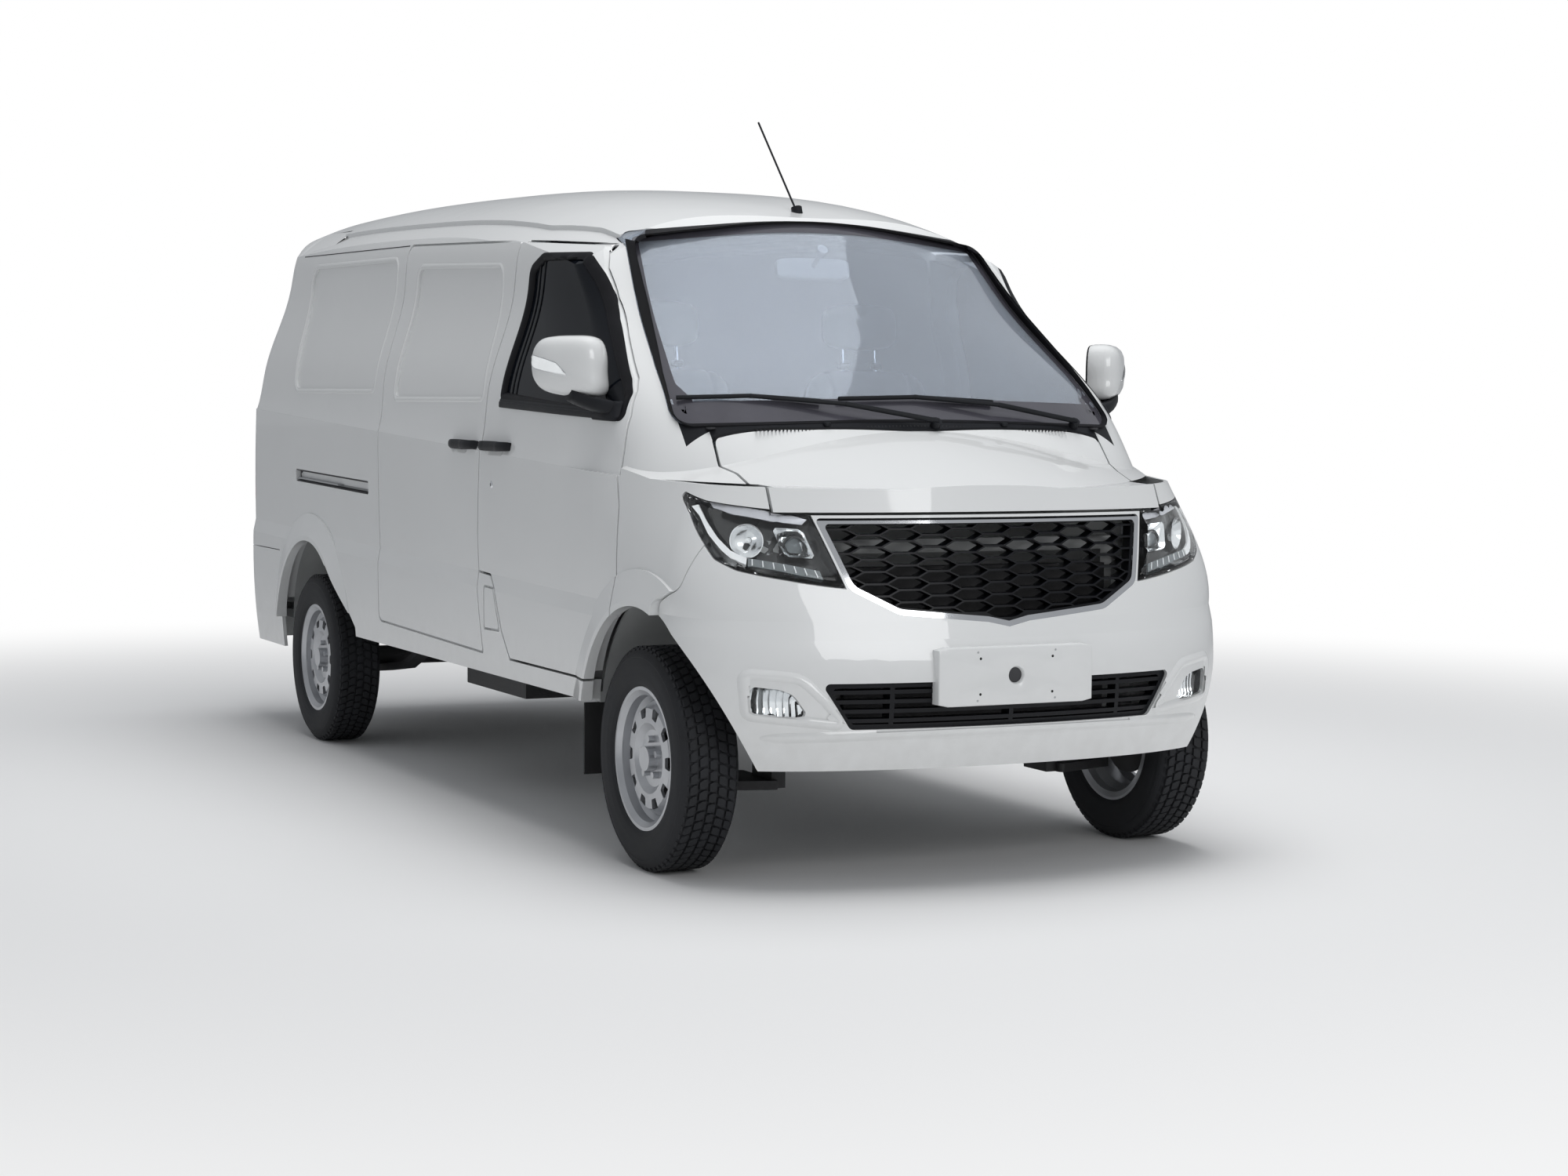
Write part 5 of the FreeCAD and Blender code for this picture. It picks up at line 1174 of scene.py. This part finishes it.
knobs = [moved(pillow((0.030, 0.036, 0.036), 3, 20, 10), on_dash(y, 0.835)) for y in (-0.07, 0.0, 0.07)]
made("heater_knobs", joined(*knobs), pale_plastic, "body", sharp=50)
lid = [[on_dash(p.x, p.y, lift)
    for p in rounded([(-0.60, 0.745, 0.02), (-0.24, 0.745, 0.02), (-0.24, 0.875, 0.02),
    (-0.60, 0.875, 0.02)], 0.03)] for lift in (-0.003, 0.005, 0.007)]
made("glove_box_lid", lofted(lid), black_plastic, "body", sharp=45)

# Front bumper relief: the moulded bumper skin stands proud in a rounded welt about each fog lamp
# and rolls out in a lip below the lower grille.
nose_skin = surface_of("front_bumper", keep=lambda p: p.normal.x > 0.15)


def on_nose(y, z, lift=0.0):
    """A point on the front bumper found along the driving direction."""
    spot, normal = met_along_x(nose_skin, 3, 2.0, y, z)
    return spot + normal * lift


def smoothed(line, rounds):
    """A closed line relaxed a few times along its length."""
    for _ in range(rounds):
        line = [(line[i - 1] + line[i] * 2 + line[(i + 1) % len(line)]) / 4 for i in range(len(line))]
    return line


welt_profile = ((0.016, -0.0010), (0.011, 0.0022), (0.005, 0.0058), (0.0, 0.0068), (-0.005, 0.0058),
    (-0.010, 0.0028), (-0.014, -0.0010))
welt_line = smoothed(rounded([(-0.686, 0.549, 0.015), (-0.560, 0.538, 0.045), (-0.500, 0.478, 0.10),
    (-0.448, 0.418, 0.010), (-0.524, 0.428), (-0.676, 0.444, 0.015)], 0.012), 2)
welt_rings = [[on_nose(here.x + out.x * o, here.y + out.y * o, lift) for o, lift in welt_profile]
    for here, out in zip(welt_line, outward(welt_line))]
for welt in both_sides("fog_lamp_welt", lofted(welt_rings, looped=True), white_paint, sharp=60):
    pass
lip_half, lip_steps = 0.655, 60
lip_rings = []
for k in range(lip_steps + 1):
    y = -lip_half + 2 * lip_half * k / lip_steps
    thin = min(1.0, (lip_half - abs(y)) / 0.05)
    z = 0.398 - 0.010 * (abs(y) / lip_half) ** 2
    lip_rings.append([on_nose(y, z + up * (0.4 + 0.6 * thin), lift * thin - 0.001)
        for up, lift in ((0.013, 0.0), (0.006, 0.0048), (0.0, 0.0062), (-0.007, 0.0050), (-0.017, 0.0))])
lip = made("bumper_lip", lofted(lip_rings), white_paint, "body", sharp=60)

# Tail lamps: one tall moulded lamp at each rear corner, screwed to the body side. Its lens has a red
# section at the foot, a clear one, an amber one and a red one at the top, with dark joints between.
lamp_lens_red = finish("tail_lamp_red", (0.42, 0.010, 0.012), 0.08, 0.08, 30, 420, 0.0004,
    sockets={"Coat Weight": 1.0, "Coat Roughness": 0.03})
lamp_foot, lamp_top, dark_joint = 0.828, 1.232, (0.03, 0.03, 0.03, 1)
tree = lamp_lens_red.node_tree
split, sections = add(tree, "SeparateXYZ"), add(tree, "ValToRGB")
height = add(tree, "MapRange", From_Min=lamp_foot, From_Max=lamp_top)
ramp = sections.color_ramp
ramp.interpolation = "CONSTANT"
ramp.elements[0].color = (0.40, 0.010, 0.012, 1)
ramp.elements[1].position, ramp.elements[1].color = 0.985, dark_joint
for joint, section, colour in ((0.245, 0.255, (0.62, 0.62, 0.60, 1)), (0.445, 0.455, (0.70, 0.20, 0.010, 1)),
        (0.645, 0.655, (0.42, 0.010, 0.012, 1))):
    ramp.elements.new(joint).color = dark_joint
    ramp.elements.new(section).color = colour
wire(tree, (add(tree, "TexCoord").outputs["Object"], split.inputs[0]),
    (split.outputs["Z"], height.inputs["Value"]), (height.outputs["Result"], sections.inputs["Fac"]),
    (sections.outputs["Color"], tree.nodes["Principled BSDF"].inputs["Base Color"]))
dress("tail_lamps", lamp_lens_red)

# Tailgate fittings: a white pressed garnish over the plate recess with the pull grip and the plate
# lamps below it, a baked black border round the glass, and a high brake lamp.
gate_skin = surface_of("tailgate tailgate_glass", keep=lambda p: p.normal.x < -0.25)


def on_gate(y, z, lift=0.0):
    """A point on the tailgate's outside found from behind."""
    spot, normal = met_along_x(gate_skin, -3, -2.15, y, z)
    return spot + normal * lift


def gate_bar(y0, y1, z0, z1, deep, steps=24):
    """A moulded bar on the tailgate with rounded front edges and closed ends."""
    rings = []
    for k in range(steps + 1):
        y = y0 + (y1 - y0) * k / steps
        end = min(1.0, 12 * min(k, steps - k) / steps + 0.35)
        rings.append([on_gate(y, z0 + (z1 - z0) * u, deep * lift * end)
            for u, lift in ((0, -0.3), (0, 0.5), (0.12, 0.9), (0.3, 1.0), (0.7, 1.0), (0.88, 0.9), (1, 0.5),
            (1, -0.3))])
    return lofted(rings)


for name, shape, material, slot in (("plate_garnish", gate_bar(-0.300, 0.300, 1.050, 1.105, 0.011),
        white_paint, "white_paint"), ("gate_grip", gate_bar(-0.075, 0.075, 1.028, 1.048, 0.008),
        black_plastic, "black_plastic"), ("high_brake_lamp", gate_bar(-0.120, 0.120, 1.640, 1.656, 0.006),
        lamp_lens_red, "red_lens")):
    piece = made(name, shape, material, "tailgate", sharp=50)
plate_lamps = joined(*[gate_bar(y - 0.022, y + 0.022, 1.036, 1.048, 0.006, 8) for y in (-0.16, 0.16)])
made("plate_lamps", plate_lamps, clear_lens, "tailgate")
plate_edge = rounded([(-0.230, 0.905, 0.012), (0.230, 0.905, 0.012), (0.230, 1.022, 0.012),
    (-0.230, 1.022, 0.012)], 0.02)
made("plate_recess_edge", band_round(plate_edge, ((0.006, -0.0005), (0.003, 0.0022), (-0.003, 0.0022),
    (-0.006, -0.0005)), on_gate), white_paint, "tailgate", sharp=60)
glass_edge = rounded([(-0.566, 1.242, 0.05), (0.566, 1.242, 0.05), (0.530, 1.640, 0.06),
    (-0.530, 1.640, 0.06)], 0.03)
rings = [[on_gate(here.x - out.x * o, here.y - out.y * o, 0.0007) for o in (-0.012, 0.014, 0.040)]
    for here, out in zip(glass_edge, outward(glass_edge))]
# This border has the same lightened violet grey: black frit with a painted sky reflection.
made("gate_glass_border", sheet(rings, looped=True), frit_and_painted_sky, "tailgate")

# Rear bumper fittings: two moulded red reflectors, one clipped into each end of the bumper's rear face.
# Each is a thin bar with its edges rounded down to the bumper skin.
rear_skin = surface_of("rear_bumper", keep=lambda p: p.normal.x < -0.2)
for side, label in ((-1, "right"), (1, "left")):
    rings = []
    for k in range(13):
        y = side * (0.520 + 0.110 * k / 12)
        thin = min(1.0, 6 * min(k, 12 - k) / 12 + 0.4)
        ring = []
        for u, lift in ((-0.018, -0.002), (-0.018, 0.001), (-0.014, 0.003), (0.014, 0.003), (0.018, 0.001),
                (0.018, -0.002)):
            spot, normal = rear_skin.find_nearest(Vector((-2.20, y, 0.475 + u)))[:2]
            ring.append(spot + normal * lift * thin)
        rings.append(ring)
    piece = made("rear_reflector_" + label, lofted(rings), lamp_lens_red, "body", sharp=50)

# Rear roof corners: a pressed gusset welded to the body side fills each corner between the side
# panel, the roof and the tailgate, and leaves the tailgate a seam of 8 mm.
corner_edges = [((-2.018, -0.690, 1.400), (-2.027, -0.675, 1.400)),
    ((-1.993, -0.690, 1.450), (-2.006, -0.668, 1.450)), ((-1.968, -0.690, 1.500), (-1.986, -0.662, 1.500)),
    ((-1.941, -0.690, 1.550), (-1.967, -0.655, 1.550)), ((-1.915, -0.690, 1.600), (-1.951, -0.648, 1.600)),
    ((-1.892, -0.690, 1.650), (-1.937, -0.642, 1.650)), ((-1.866, -0.690, 1.698), (-1.915, -0.635, 1.700)),
    ((-1.850, -0.690, 1.717), (-1.901, -0.608, 1.752)), ((-1.832, -0.690, 1.721), (-1.886, -0.578, 1.797)),
    ((-1.805, -0.690, 1.721), (-1.850, -0.574, 1.804)), ((-1.775, -0.690, 1.721), (-1.800, -0.577, 1.803)),
    ((-1.735, -0.690, 1.721), (-1.740, -0.578, 1.803)), ((-1.660, -0.690, 1.721), (-1.660, -0.579, 1.803)),
    ((-1.480, -0.690, 1.721), (-1.480, -0.580, 1.803))]
rings = []
for side_edge, gate_edge in corner_edges:
    side_edge, gate_edge = Vector(side_edge), Vector(gate_edge)
    span = (gate_edge - side_edge).length
    crown = Vector((-0.55, -0.62, 0.56)) * span * (0.11 if side_edge.x < -1.82 else 0.03)
    rings.append([side_edge.lerp(gate_edge, t) + crown * (4 * t * (1 - t))
        for t in (0, 0.2, 0.4, 0.6, 0.8, 1)])
    inward = Vector((0.020, 0.012, -0.012))
    rings[-1] = [side_edge + inward * 0.6] + rings[-1] + [gate_edge + inward]
for gusset in both_sides("roof_corner_gusset", sheet(rings), white_paint, sharp=50):
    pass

# Blank panels: the steel sheet in place of the side windows is pressed in, and the pressing leaves a
# rolled bead all round each blank, on the sliding doors and on the body sides.
bead_profile = ((0.020, -0.0008), (0.016, 0.0020), (0.011, 0.0032), (0.006, 0.0022), (0.002, -0.0008))
for name, corners in (("door_blank_bead", [(0.420, 1.222, 0.014), (0.375, 1.598, 0.03),
        (-0.394, 1.622, 0.03), (-0.400, 1.218, 0.014)]),
        ("side_blank_bead", [(-0.630, 1.242, 0.02), (-0.626, 1.655, 0.03), (-1.592, 1.663, 0.06),
        (-1.540, 1.240, 0.04)])):
    bead = band_round(rounded(corners), bead_profile, flank)
    for piece in both_sides(name, bead, white_paint, sharp=60):
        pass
